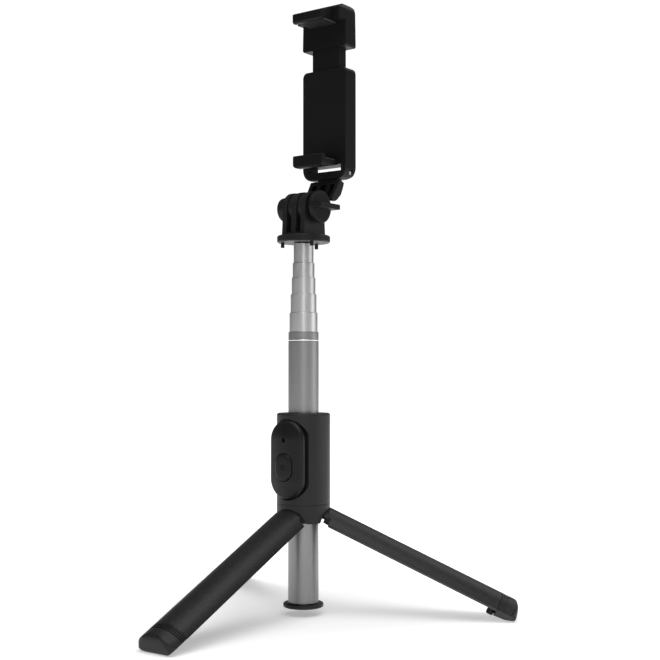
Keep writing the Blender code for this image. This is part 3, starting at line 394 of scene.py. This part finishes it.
MATERIALS = {
    "grip": moulded("grip_plastic", (0.010, 0.010, 0.0105), (0.015, 0.015, 0.016), 0.45, specular=0.26),
    "leg": moulded("leg_plastic", (0.009, 0.009, 0.0095), (0.013, 0.013, 0.014), 0.40, wear=0.0,
                   specular=0.28),
    "head": moulded("head_plastic", (0.007, 0.007, 0.0075), (0.011, 0.011, 0.012), 0.44, specular=0.18),
    "knob": moulded("knob_plastic", (0.005, 0.005, 0.0055), (0.008, 0.008, 0.009), 0.5, specular=0.14),
    "clamp": moulded("clamp_plastic", (0.005, 0.005, 0.0055), (0.008, 0.008, 0.009), 0.44, wear=0.0,
                     specular=0.10),
    "remote": moulded("remote_plastic", (0.006, 0.006, 0.0065), (0.009, 0.009, 0.010), 0.36, grain=3400.0,
                      specular=0.2),
    "button": moulded("button_plastic", (0.006, 0.006, 0.0065), (0.009, 0.009, 0.010), 0.36, grain=3800.0,
                      specular=0.18),
    "symbol": moulded("symbol_print", (0.003, 0.003, 0.003), (0.005, 0.005, 0.005), 0.5, wear=0.0,
                      specular=0.1),
    "rubber": moulded("foot_rubber", (0.009, 0.009, 0.009), (0.013, 0.013, 0.0135), 0.44, grain=1500.0,
                      relief=0.00004, specular=0.3),
    "pad": moulded("grip_pad_rubber", (0.012, 0.012, 0.012), (0.018, 0.018, 0.018), 0.75, grain=1800.0,
                   relief=0.00005),
    "flange": moulded("flange_plastic", (0.009, 0.009, 0.009), (0.013, 0.013, 0.014), 0.45, specular=0.3),
    "sleeve": moulded("sleeve_plastic", (0.62, 0.62, 0.60), (0.72, 0.72, 0.70), 0.45, worn=(0.8, 0.8, 0.8)),
    "board": moulded("circuit_board_resin", (0.010, 0.075, 0.035), (0.018, 0.11, 0.05), 0.35, wear=0.0),
    "lens": moulded("dark_lens", (0.006, 0.006, 0.007), (0.010, 0.010, 0.011), 0.12, relief=0.0, wear=0.0,
                    dust=0.0),
    "tube": drawn_metal("tube_steel", (0.23, 0.23, 0.235), (0.31, 0.31, 0.315), 0.36),
    "bright_tube": drawn_metal("bright_tube_steel", (0.50, 0.50, 0.505), (0.62, 0.62, 0.625), 0.32),
    "bead": drawn_metal("rolled_bead_steel", (0.85, 0.85, 0.85), (0.93, 0.93, 0.93), 0.22),
    "steel": drawn_metal("fastener_steel", (0.52, 0.52, 0.53), (0.66, 0.66, 0.67), 0.28, line=2600.0,
                         stretch=0.4),
}


# ---- shapes -------------------------------------------------------------------------
def arc(centre, radius, start, end, count):
    points = []
    for i in range(count):
        angle = math.radians(start + (end - start) * i / (count - 1))
        points.append((centre[0] + radius * math.cos(angle), centre[1] + radius * math.sin(angle)))
    return points


def stadium(half_width, half_height, centre, count=25):
    """A tall outline with half-round ends, as (x, z) points."""
    straight = max(half_height - half_width, 0.0)
    steps = [straight * (1.0 - i / 6.0) for i in range(1, 12)]
    points = arc((0.0, centre + straight), half_width, 0.0, 180.0, count)
    points += [(-half_width, centre + z) for z in steps]
    points += arc((0.0, centre - straight), half_width, 180.0, 360.0, count)
    return points + [(half_width, centre - z) for z in steps]


def rounded(half_width, half_height, radius, centre, count=7):
    x, z = half_width - radius, half_height - radius
    points = []
    for cx, cz, start in ((x, -z, -90.0), (x, z, 0.0), (-x, z, 90.0), (-x, -z, 180.0)):
        points += arc((cx + centre[0], cz + centre[1]), radius, start, start + 90.0, count)
    return points


def skin(rings, closed_ends=True, loop=False):
    """A surface through rings of equally many points."""
    shape = bmesh.new()
    loops = [[shape.verts.new(p) for p in ring] for ring in rings]
    pairs = list(zip(loops, loops[1:]))
    if loop:
        pairs.append((loops[-1], loops[0]))
    for lower, upper in pairs:
        for i in range(len(lower)):
            j = (i + 1) % len(lower)
            shape.faces.new((lower[i], lower[j], upper[j], upper[i]))
    if closed_ends and not loop:
        shape.faces.new(reversed(loops[0]))
        shape.faces.new(loops[-1])
    return shape


def extruded(outline, low, high, along):
    place = {
        "z": lambda a, b, c: (a, b, c),
        "x": lambda a, b, c: (c, a, b),
        "y": lambda a, b, c: (a, c, b),
    }[along]
    return skin([[place(a, b, level) for a, b in outline] for level in (low, high)])


def turned(profile, sides=128):
    """Turned about Z. A profile that starts and ends on the axis is solid, and any other is a tube."""
    solid = profile[0][0] == 0.0
    turns = [2 * math.pi * i / sides for i in range(sides)]
    rings = [
        [(radius * math.cos(turn), radius * math.sin(turn), z) for turn in turns]
        for radius, z in (profile[1:-1] if solid else profile)
    ]
    shape = skin(rings, closed_ends=False, loop=not solid)
    if solid:
        shape.verts.ensure_lookup_table()
        for ring, height in ((0, profile[0][1]), (len(rings) - 1, profile[-1][1])):
            centre = shape.verts.new((0.0, 0.0, height))
            shape.verts.ensure_lookup_table()
            for i in range(sides):
                after = ring * sides + (i + 1) % sides
                shape.faces.new((shape.verts[ring * sides + i], shape.verts[after], centre))
    return shape


def moved(shape, matrix):
    bmesh.ops.transform(shape, matrix=matrix, verts=shape.verts)
    return shape


def along_x(shape, height):
    turn = Matrix.Rotation(math.radians(90.0), 4, "Y")
    return moved(shape, Matrix.Translation((0.0, 0.0, height)) @ turn)


def along_y(shape, height):
    turn = Matrix.Rotation(math.radians(-90.0), 4, "X")
    return moved(shape, Matrix.Translation((0.0, 0.0, height)) @ turn)


def loose(name, shape):
    """A throw-away object from a bmesh, with its faces turned outwards."""
    mesh = bpy.data.meshes.new(name)
    bmesh.ops.recalc_face_normals(shape, faces=shape.faces)
    shape.to_mesh(mesh)
    shape.free()
    made = bpy.data.objects.new(name, mesh)
    bpy.context.scene.collection.objects.link(made)
    return made


def settle(obj):
    """Applies an object's modifiers to its mesh."""
    bpy.context.view_layer.update()
    evaluated = obj.evaluated_get(bpy.context.evaluated_depsgraph_get())
    mesh = bpy.data.meshes.new_from_object(evaluated)
    obj.modifiers.clear()
    obj.data = mesh
    return obj


def combine(obj, shape, operation="DIFFERENCE"):
    tool = loose("tool", shape)
    boolean = obj.modifiers.new("combine", "BOOLEAN")
    boolean.operation = operation
    boolean.solver = "EXACT"
    boolean.object = tool
    settle(obj)
    bpy.data.objects.remove(tool)
    return obj


def soften(obj, width, segments, angle):
    """Rounds the sharp edges and keeps the flats flat."""
    mesh = obj.data
    shape = bmesh.new()
    shape.from_mesh(mesh)
    bmesh.ops.remove_doubles(shape, verts=shape.verts, dist=width * 0.002)
    bmesh.ops.dissolve_limit(shape, angle_limit=math.radians(FLAT_ANGLE), verts=shape.verts,
                             edges=shape.edges)
    shape.to_mesh(mesh)
    shape.free()
    bevel = obj.modifiers.new("soft_edges", "BEVEL")
    bevel.width = width
    bevel.segments = segments
    bevel.limit_method = "ANGLE"
    bevel.angle_limit = math.radians(angle)
    bevel.miter_outer = "MITER_ARC"
    return settle(obj)


def finish(obj, body, material, nodes=(), in_row_frame=False, weighted=True):
    """Moves a piece drawn in millimetres to the row frame, shades it and hands it over."""
    mesh = obj.data
    if not in_row_frame:
        mesh.transform(ROW_FRAME)
    mesh.materials.clear()
    mesh.materials.append(MATERIALS[material])
    mesh.shade_smooth()
    mesh.set_sharp_from_angle(angle=math.radians(SMOOTH_ANGLE))
    if weighted:
        even = obj.modifiers.new("even_shading", "WEIGHTED_NORMAL")
        even.keep_sharp = True
        even.weight = 60
        settle(obj)
    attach(obj, body)
    if nodes:
        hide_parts(*nodes)
    return obj


def round_normals(obj, placing, radius):
    """Makes the faces on a barrel of this radius about placing's Z axis shade as one smooth curve."""
    mesh, back = obj.data, placing.inverted()
    spots = [back @ vertex.co for vertex in mesh.vertices]
    on_barrel = [abs(math.hypot(spot.x, spot.y) - radius) < BARREL_SLACK for spot in spots]
    normals = [(0.0, 0.0, 0.0)] * len(mesh.loops)
    for face in mesh.polygons:
        centre = back @ face.center
        outward = (placing.to_3x3() @ Vector((centre.x, centre.y, 0.0))).normalized()
        faces_out = face.normal.dot(outward) > math.cos(math.radians(BARREL_TILT))
        if faces_out and all(on_barrel[i] for i in face.vertices):
            for loop in face.loop_indices:
                spot = spots[mesh.loops[loop].vertex_index]
                normals[loop] = (placing.to_3x3() @ Vector((spot.x, spot.y, 0.0))).normalized()
    mesh.normals_split_custom_set(normals)
    return obj


def faired(node, name, width, segments=3):
    """A merged copy of a CAD node, in the row frame, with its sharp edges rounded."""
    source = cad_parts[node]
    mesh = source.data.copy()
    mesh.transform(source.matrix_world)
    made = bpy.data.objects.new(name, mesh)
    bpy.context.scene.collection.objects.link(made)
    shape = bmesh.new()
    shape.from_mesh(mesh)
    bmesh.ops.remove_doubles(shape, verts=shape.verts, dist=0.000002)
    bmesh.ops.dissolve_limit(shape, angle_limit=math.radians(FLAT_ANGLE), verts=shape.verts,
                             edges=shape.edges)
    shape.to_mesh(mesh)
    shape.free()
    bevel = made.modifiers.new("soft_edges", "BEVEL")
    bevel.width = width / 1000.0
    bevel.segments = segments
    bevel.limit_method = "ANGLE"
    bevel.angle_limit = math.radians(BEVEL_ANGLE)
    return settle(made)


def dress(node, name, body, material, width, segments=3):
    return finish(faired(node, name, width, segments), body, material, (node,), in_row_frame=True)


# ---- things that repeat, made with geometry nodes -----------------------------------
def geometry_tree(name, inputs):
    tree = bpy.data.node_groups.new(name, "GeometryNodeTree")
    tree.interface.new_socket("Geometry", in_out="OUTPUT", socket_type="NodeSocketGeometry")
    for label, kind, default in inputs:
        socket = tree.interface.new_socket(label, in_out="INPUT", socket_type=kind)
        if default is not None:
            socket.default_value = default
    net = Net(tree)
    return net, net.add("NodeGroupInput"), net.add("NodeGroupOutput")


def end_tree(net, result, geometry, finish_socket):
    realize = net.add("GeometryNodeRealizeInstances")
    paint = net.add("GeometryNodeSetMaterial")
    net.link(geometry, realize.inputs[0])
    net.link(realize.outputs[0], paint.inputs["Geometry"])
    net.link(finish_socket, paint.inputs["Material"])
    net.link(paint.outputs[0], result.inputs["Geometry"])


def ring_tree():
    """Bars laid round a circle about Z, each along the axis."""
    net, given, result = geometry_tree("bars_round_a_barrel", [
        ("Bars", "NodeSocketInt", 24), ("Radius", "NodeSocketFloat", 5.0),
        ("Bar Size", "NodeSocketVector", (1.0, 1.0, 1.0)),
        ("Height", "NodeSocketFloat", 0.0), ("Finish", "NodeSocketMaterial", None),
    ])
    circle = net.add("GeometryNodeMeshCircle")
    net.link(given.outputs["Bars"], circle.inputs["Vertices"])
    net.link(given.outputs["Radius"], circle.inputs["Radius"])
    bar = net.add("GeometryNodeMeshCube")
    net.link(given.outputs["Bar Size"], bar.inputs["Size"])
    place = net.add("GeometryNodeInputPosition")
    facing = net.add("FunctionNodeAlignRotationToVector", axis="X")
    net.link(place.outputs[0], facing.inputs["Vector"])
    spread = net.add("GeometryNodeInstanceOnPoints")
    net.link(circle.outputs[0], spread.inputs["Points"])
    net.link(bar.outputs["Mesh"], spread.inputs["Instance"])
    net.link(facing.outputs[0], spread.inputs["Rotation"])
    lift = net.add("ShaderNodeCombineXYZ")
    net.link(given.outputs["Height"], lift.inputs["Z"])
    move = net.add("GeometryNodeTransform")
    net.link(spread.outputs[0], move.inputs["Geometry"])
    net.link(lift.outputs[0], move.inputs["Translation"])
    end_tree(net, result, move.outputs[0], given.outputs["Finish"])
    return net.tree


def row_tree():
    """Ridges laid side by side along a line."""
    net, given, result = geometry_tree("ridges_in_a_row", [
        ("Ridges", "NodeSocketInt", 10), ("Start", "NodeSocketVector", (0.0, 0.0, 0.0)),
        ("Step", "NodeSocketVector", (1.0, 0.0, 0.0)), ("Ridge Size", "NodeSocketVector", (1.0, 1.0, 1.0)),
        ("Finish", "NodeSocketMaterial", None),
    ])
    line = net.add("GeometryNodeMeshLine")
    net.link(given.outputs["Ridges"], line.inputs["Count"])
    net.link(given.outputs["Start"], line.inputs["Start Location"])
    net.link(given.outputs["Step"], line.inputs["Offset"])
    ridge = net.add("GeometryNodeMeshCube")
    net.link(given.outputs["Ridge Size"], ridge.inputs["Size"])
    spread = net.add("GeometryNodeInstanceOnPoints")
    net.link(line.outputs[0], spread.inputs["Points"])
    net.link(ridge.outputs["Mesh"], spread.inputs["Instance"])
    end_tree(net, result, spread.outputs[0], given.outputs["Finish"])
    return net.tree


def coil_tree():
    """A round wire wound about Z."""
    net, given, result = geometry_tree("wound_wire", [
        ("Turns", "NodeSocketFloat", 20.0), ("Coil Radius", "NodeSocketFloat", 1.0),
        ("Length", "NodeSocketFloat", 30.0),
        ("Wire Radius", "NodeSocketFloat", 0.2), ("Steps", "NodeSocketInt", 20),
        ("Finish", "NodeSocketMaterial", None),
    ])
    spiral = net.add("GeometryNodeCurveSpiral")
    net.link(given.outputs["Steps"], spiral.inputs["Resolution"])
    net.link(given.outputs["Turns"], spiral.inputs["Rotations"])
    net.link(given.outputs["Coil Radius"], spiral.inputs["Start Radius"])
    net.link(given.outputs["Coil Radius"], spiral.inputs["End Radius"])
    net.link(given.outputs["Length"], spiral.inputs["Height"])
    wire = net.add("GeometryNodeCurvePrimitiveCircle")
    wire.inputs["Resolution"].default_value = 8
    net.link(given.outputs["Wire Radius"], wire.inputs["Radius"])
    sweep = net.add("GeometryNodeCurveToMesh")
    net.link(spiral.outputs[0], sweep.inputs["Curve"])
    net.link(wire.outputs[0], sweep.inputs["Profile Curve"])
    sweep.inputs["Fill Caps"].default_value = True
    end_tree(net, result, sweep.outputs[0], given.outputs["Finish"])
    return net.tree


BARS_ROUND = ring_tree()
RIDGES = row_tree()
WOUND_WIRE = coil_tree()


def grown(name, tree, **values):
    """A plain object from a geometry tree with its named inputs set."""
    obj = bpy.data.objects.new(name, bpy.data.meshes.new(name))
    bpy.context.scene.collection.objects.link(obj)
    modifier = obj.modifiers.new(name, "NODES")
    modifier.node_group = tree
    for item in tree.interface.items_tree:
        if item.in_out == "INPUT":
            key = item.name.replace(" ", "_")
            if key in values:
                modifier[item.identifier] = values[key]
    return settle(obj)


def join(obj, *others):
    """Adds other objects' meshes to one piece."""
    shape = bmesh.new()
    shape.from_mesh(obj.data)
    for other in others:
        shape.from_mesh(other.data)
    shape.to_mesh(obj.data)
    shape.free()
    for other in others:
        bpy.data.objects.remove(other)
    return obj


# ---- grip housing and hub -----------------------------------------------------------
def build_grip_housing():
    low, high = HOUSING
    shell = turned([
        (BORE_RADIUS, SEAT[1]), SEAT, (SEAT[0], low + 0.1), (SEAT[0] + 0.1, low),
        (BODY_RADIUS - 0.12, low), (BODY_RADIUS, low + 0.12),
        (BODY_RADIUS, high - 1.0), (BODY_RADIUS - 0.12, high - 0.5), (BODY_RADIUS - 0.45, high - 0.15),
        (BODY_RADIUS - 1.0, high),
        (BORE_RADIUS + 0.5, high), (BORE_RADIUS, high - 0.4),
    ])
    housing = loose("grip_housing", shell)
    recess = stadium(REMOTE_HALF[0] + 0.4, REMOTE_HALF[1] + 0.4, REMOTE_CENTRE)
    combine(housing, extruded(recess, -30.0, DOCK_FLAT, "y"))
    for azimuth in PIN_AZIMUTHS:
        radius, depth = PIN_HOLE
        hole = turned([(0.0, high - depth), (radius, high - depth), (radius, high + 1.0),
                       (0.0, high + 1.0)], 24)
        spot = Matrix.Rotation(math.radians(azimuth), 4, "Z") @ Matrix.Translation((PIN_CIRCLE, 0.0, 0.0))
        combine(housing, moved(hole, spot))
    finish(housing, "dock", "grip", ("dock_housing",))
    collar = dress("leg_hub", "leg_collar", "dock", "grip", 0.12, 2)
    for part in (housing, collar):
        round_normals(part, ROW_FRAME, BODY_RADIUS)


# ---- legs ---------------------------------------------------------------------------
def opened():
    """The turn of a leg that is drawn folded down along the pole to where it stands."""
    pivot = Matrix.Translation((LEG_PIVOT[0], 0.0, LEG_PIVOT[1]))
    return pivot @ Matrix.Rotation(-math.radians(LEG_SPREAD), 4, "Y") @ pivot.inverted()


def leg_point(radius, height):
    """Where a point of the folded leg (radius, height from the pivot) stands, as (radius, height)."""
    point = opened() @ Vector((radius, 0.0, LEG_PIVOT[1] + height))
    return point.x, point.z


def make_foot(name):
    """A rubber shoe with a round toe and fine grooves behind it, standing at azimuth 0."""
    shell_bottom = LEG_PIVOT[1] - SHELL_END
    wall = arc((0.0, 0.0), BODY_RADIUS, -LEG_HALF_ANGLE, LEG_HALF_ANGLE, 49)
    wall += arc((0.0, 0.0), 3.0, LEG_HALF_ANGLE, -LEG_HALF_ANGLE, 49)
    foot = loose(name, moved(extruded(wall, shell_bottom - 14.0, shell_bottom + 1.5, "z"), opened()))
    top = leg_point(BODY_RADIUS + 0.1, -(SHELL_END + 3.6))
    start = leg_point(BODY_RADIUS + 0.1, -(SHELL_END - 3.0))
    inner = leg_point(2.0, -(SHELL_END - 3.0))
    toe = [
        (105.0, 9.75), (106.1, 8.9), (106.75, 7.9), (107.0, 6.8), (106.9, 5.4), (106.4, 3.4), (105.7, 1.3),
        (105.2, 0.4),
        (104.6, 0.0), (100.2, 0.0),
    ]
    heel = leg_point(2.0, -(SHELL_END + 0.3))
    combine(foot, extruded([start, top] + toe + [heel, inner], -30.0, 30.0, "y"), "INTERSECT")
    plan = [(90.0, 14.0), (101.6, 12.6), (103.6, 11.2), (105.3, 9.9), (106.35, 8.3), (106.82, 6.3),
            (107.4, 3.2)]
    outline = [(r, -t) for r, t in plan] + [(r, t) for r, t in reversed(plan)]
    combine(foot, extruded(outline, -5.0, 40.0, "z"), "INTERSECT")
    remesh = foot.modifiers.new("even_skin", "REMESH")
    remesh.mode = "VOXEL"
    remesh.voxel_size = 0.32
    relax = foot.modifiers.new("round_edges", "SMOOTH")
    relax.factor = 0.5
    relax.iterations = 20
    settle(foot)
    square = [(-20.0, -20.0), (20.0, -20.0), (20.0, 20.0), (-20.0, 20.0)]
    combine(foot, moved(extruded(square, shell_bottom - 0.3, shell_bottom + 9.0, "z"), opened()))
    floor = [(80.0, -20.0), (120.0, -20.0), (120.0, 20.0), (80.0, 20.0)]
    combine(foot, extruded(floor, -5.0, 0.0, "z"))
    for depth in FOOT_GROOVES:
        upper = shell_bottom - 0.3 - depth
        floor_radius = BODY_RADIUS - GROOVE_DEPTH
        lower = upper - GROOVE_WIDTH
        band = turned([(floor_radius, upper), (floor_radius, lower), (BODY_RADIUS + 1.0, lower),
                       (BODY_RADIUS + 1.0, upper)])
        combine(foot, moved(band, opened()))
    return foot


def build_legs():
    pattern = make_foot("foot_pattern")
    for side, azimuth in LEG_AZIMUTHS.items():
        body = f"leg_{side}"
        shell = faired(f"leg_{side}", f"leg_shell_{side}", 0.35)
        finish(shell, body, "leg", (f"leg_{side}",), in_row_frame=True, weighted=False)
        turn = Matrix.Rotation(math.radians(azimuth), 4, "Z")
        round_normals(shell, ROW_FRAME @ turn @ opened(), BODY_RADIUS)
        foot = bpy.data.objects.new(f"rubber_foot_{side}", pattern.data.copy())
        bpy.context.scene.collection.objects.link(foot)
        foot.data.transform(turn)
        finish(foot, body, "rubber", (f"foot_{side}",))
        dress(f"foot_peg_{side}", f"rest_peg_{side}", body, "flange", 0.12, 2)
    bpy.data.objects.remove(pattern)


# ---- pole ---------------------------------------------------------------------------
def section(name, sizes, body, material, node):
    """A drawn tube with a rolled top edge."""
    outer, inner, low, high = sizes
    shell = turned([
        (inner, low + 0.1), (inner + 0.08, low), (outer - 0.08, low), (outer, low + 0.1),
        (outer, high - 0.22), (outer - 0.05, high - 0.08), (outer - 0.12, high), (inner + 0.08, high),
        (inner, high - 0.1),
    ])
    return finish(loose(name, shell), body, material, (node,))


def build_pole():
    section("pole_tube", MAIN_TUBE, "main_tube", "tube", "main_tube")
    outer, inner, low, high = COLLAR
    collar = [(inner, low + 0.1), (inner + 0.08, low)]
    collar += [(outer - 0.1, low), (outer, low + 0.1), (outer, low + 0.35), (outer - 0.12, low + 0.42),
               (outer - 0.12, low + 0.55)]
    collar += [(outer - 0.04, low + 0.65), (outer - 0.04, high - 0.65), (outer - 0.12, high - 0.55),
               (outer - 0.12, high - 0.42)]
    collar += [(outer, high - 0.35), (outer, high - 0.1), (outer - 0.1, high), (inner + 0.08, high),
               (inner, high - 0.1)]
    finish(loose("pole_collar", turned(collar)), "main_tube", "tube", ("tube_collar",))
    bead = turned([(7.3, low - 0.28), (outer - 0.02, low - 0.28), (outer + 0.06, low - 0.15),
                   (outer + 0.06, low + 0.15),
                   (outer - 0.02, low + 0.28), (7.3, low + 0.28)])
    finish(loose("pole_bead", bead), "main_tube", "bead")
    for number, sizes in enumerate(INNER_TUBES, start=1):
        section(f"pole_section_{number}", sizes, f"inner_tube_{number}", "bright_tube",
                f"inner_tube_{number}")
    flange = turned([
        (0.0, 3.7), (9.3, 3.7), (9.75, 3.78), (10.05, 4.0), (10.15, 4.3), (10.15, 5.2), (10.05, 5.5),
        (9.75, 5.72), (9.3, 5.8), (7.12, 5.8), (7.12, 13.8), (6.9, 14.0), (0.0, 14.0),
    ])
    finish(loose("pole_end_flange", flange), "main_tube", "flange", ("base_flange",))


# ---- head ---------------------------------------------------------------------------
def build_head():
    dress("head_clevis", "head_knuckle", "head", "head", 0.3)
    dress("hex_nut", "knuckle_nut", "head", "steel", 0.2, 2)
    bars = grown("boss_ribs", BARS_ROUND, Bars=24, Radius=5.95, Bar_Size=(0.5, 0.62, 4.2), Height=-9.9,
                 Finish=MATERIALS["head"])
    across = Matrix.Rotation(math.radians(90.0), 4, "Y")
    bars.data.transform(Matrix.Translation((0.0, 0.0, KNUCKLE_HEIGHT)) @ across)
    finish(bars, "head", "head")
    knob = turned([
        (0.0, -11.0), (2.1, -11.0), (2.4, -10.7), (2.4, 7.6), (4.2, 7.6), (4.4, 7.8), (4.4, 9.2),
        (7.7, 9.2), (8.1, 9.35),
        (8.3, 9.8), (8.3, 11.0), (8.1, 11.4), (7.7, 11.6), (6.6, 11.6), (6.2, 11.35), (0.0, 11.35),
    ], 96)
    screw = loose("knuckle_screw", along_x(knob, KNUCKLE_HEIGHT))
    wing = extruded(rounded(KNOB_RADIUS - 0.3, 1.3, 0.5, (0.0, KNUCKLE_HEIGHT)), 11.0, 17.2, "x")
    combine(screw, wing, "UNION")
    soften(screw, 0.35, 3, 40.0)
    finish(screw, "thumb_screw", "knob", ("thumb_screw",))


# ---- neck and clamp -----------------------------------------------------------------
def pad_ridges(name, body, node, height, half_width):
    """A rubber pad with fine ridges across it."""
    pad = faired(node, name, 0.15, 2)
    low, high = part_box(node)
    count = 9
    step = (high[1] - low[1]) / (count + 1)
    ridges = grown(f"{name}_ridges", RIDGES, Ridges=count, Start=(0.0, low[1] + step, height / 1000.0),
                   Step=(0.0, step, 0.0), Ridge_Size=(half_width * 0.0018, step * 0.5, 0.0004),
                   Finish=MATERIALS["pad"])
    join(pad, ridges)
    finish(pad, body, "pad", (node,), in_row_frame=True)


def build_clamp():
    dress("neck_bracket", "neck_knuckle", "neck", "head", 0.3)
    dress("clamp_base", "clamp_spine", "clamp", "clamp", 0.4)
    dress("clamp_back_cover", "clamp_cover", "clamp", "clamp", 0.25)
    dress("upper_jaw", "clamp_jaw", "jaw", "clamp", 0.45)
    pad_ridges("tray_pad", "clamp", "lower_pad", GRIP_LOW - 0.2, 8.9)
    pad_ridges("jaw_pad", "jaw", "upper_pad", GRIP_HIGH + 0.2, 8.4)
    for sign, side in ((-1.0, "left"), (1.0, "right")):
        aside, back = SPRING_PLACE
        length = SPRING_SPAN[1] - SPRING_SPAN[0] - 2.0 * SPRING_END
        coil = grown(f"pull_spring_{side}", WOUND_WIRE, Turns=26.0, Coil_Radius=0.95, Length=length,
                     Wire_Radius=0.22, Steps=18, Finish=MATERIALS["steel"])
        coil.data.transform(Matrix.Translation((sign * aside, back, SPRING_SPAN[0] + SPRING_END)))
        finish(coil, "clamp", "steel", (f"clamp_spring_{side}",))
        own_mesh(coil)


# ---- remote -------------------------------------------------------------------------
def remote_ring(inset, y):
    outline = stadium(REMOTE_HALF[0] - inset, REMOTE_HALF[1] - inset, REMOTE_CENTRE)
    return [(x, y, z) for x, z in outline]


def build_remote():
    levels = [
        (0.25, -12.0), (0.0, -12.25), (0.0, -13.0), (0.08, -13.5), (0.35, -14.05), (0.85, -14.5),
        (1.5, -14.8), (2.4, -15.05),
        (3.6, -15.4), (5.0, -15.78), (6.4, -16.08), (7.8, -16.28), (9.0, -16.37), (10.0, -16.4),
    ]
    front = loose("remote_face", skin([remote_ring(inset, y) for inset, y in levels]))
    cavity = stadium(REMOTE_HALF[0] - REMOTE_WALL, REMOTE_HALF[1] - REMOTE_WALL, REMOTE_CENTRE)
    combine(front, extruded(cavity, -14.0, -11.0, "y"))
    opening = stadium(BUTTON_HALF[0] + CLEARANCE, BUTTON_HALF[1] + CLEARANCE, BUTTON_CENTRE)
    combine(front, extruded(opening, -18.0, -13.0, "y"))
    drop = arc((0.0, LED_HEIGHT - 0.25), 1.0, -205.0, 25.0, 19) + [(0.0, LED_HEIGHT + 1.7)]
    combine(front, extruded(drop, -18.0, -13.0, "y"))
    finish(front, "remote", "remote", ("remote_front_shell",))

    levels = ((2.4, -9.2), (2.05, -9.3), (0.4, -11.55), (0.5, -11.7))
    back = loose("remote_back", skin([remote_ring(inset, y) for inset, y in levels]))
    for wall, floor in ((REMOTE_WALL, -11.3), (2.0 * REMOTE_WALL, -10.0)):
        room = stadium(REMOTE_HALF[0] - wall, REMOTE_HALF[1] - wall, REMOTE_CENTRE)
        combine(back, extruded(room, -12.5, floor, "y"))
    finish(back, "remote", "remote", ("remote_back_shell",))

    width, height = BUTTON_HALF
    cap_levels = [
        (-0.9, -13.1), (-0.9, -13.7), (0.0, -13.7), (0.0, -16.2), (0.12, -16.55), (0.45, -16.8),
        (1.0, -16.92), (2.2, -17.0), (4.9, -17.02),
    ]
    rings = []
    for inset, y in cap_levels:
        rings.append([(x, y, z) for x, z in stadium(width - inset, height - inset, BUTTON_CENTRE)])
    finish(loose("shutter_button", skin(rings)), "remote_button", "button",
           ("remote_button",))
    symbol = turned([(0.8, -17.06), (1.4, -17.06), (1.4, -16.95), (0.8, -16.95)], 48)
    finish(loose("shutter_symbol", along_y(symbol, BUTTON_CENTRE)), "remote_button", "symbol")
    lens = turned([(0.0, -15.0), (0.45, -14.95), (0.7, -14.8), (0.7, -12.4), (0.0, -12.4)], 32)
    finish(loose("status_lens", along_y(lens, LED_HEIGHT)), "remote", "lens", ("led_lens",))


def paint_frame_nodes():
    """CAD nodes that keep their own shape get their finish."""
    finishes = {
        "friction_ring": "sleeve", "top_plug": "flange", "circuit_board": "board", "coin_cell": "steel",
        "shutter_switch": "steel", "clamp_hinge_pin": "steel", "hinge_pin_front": "steel",
        "hinge_pin_right": "steel", "hinge_pin_left": "steel",
    }
    for node, material in finishes.items():
        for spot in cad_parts[node].material_slots:
            spot.material = MATERIALS[material]


build_studio()
build_grip_housing()
build_legs()
build_pole()
build_head()
build_clamp()
build_remote()
paint_frame_nodes()
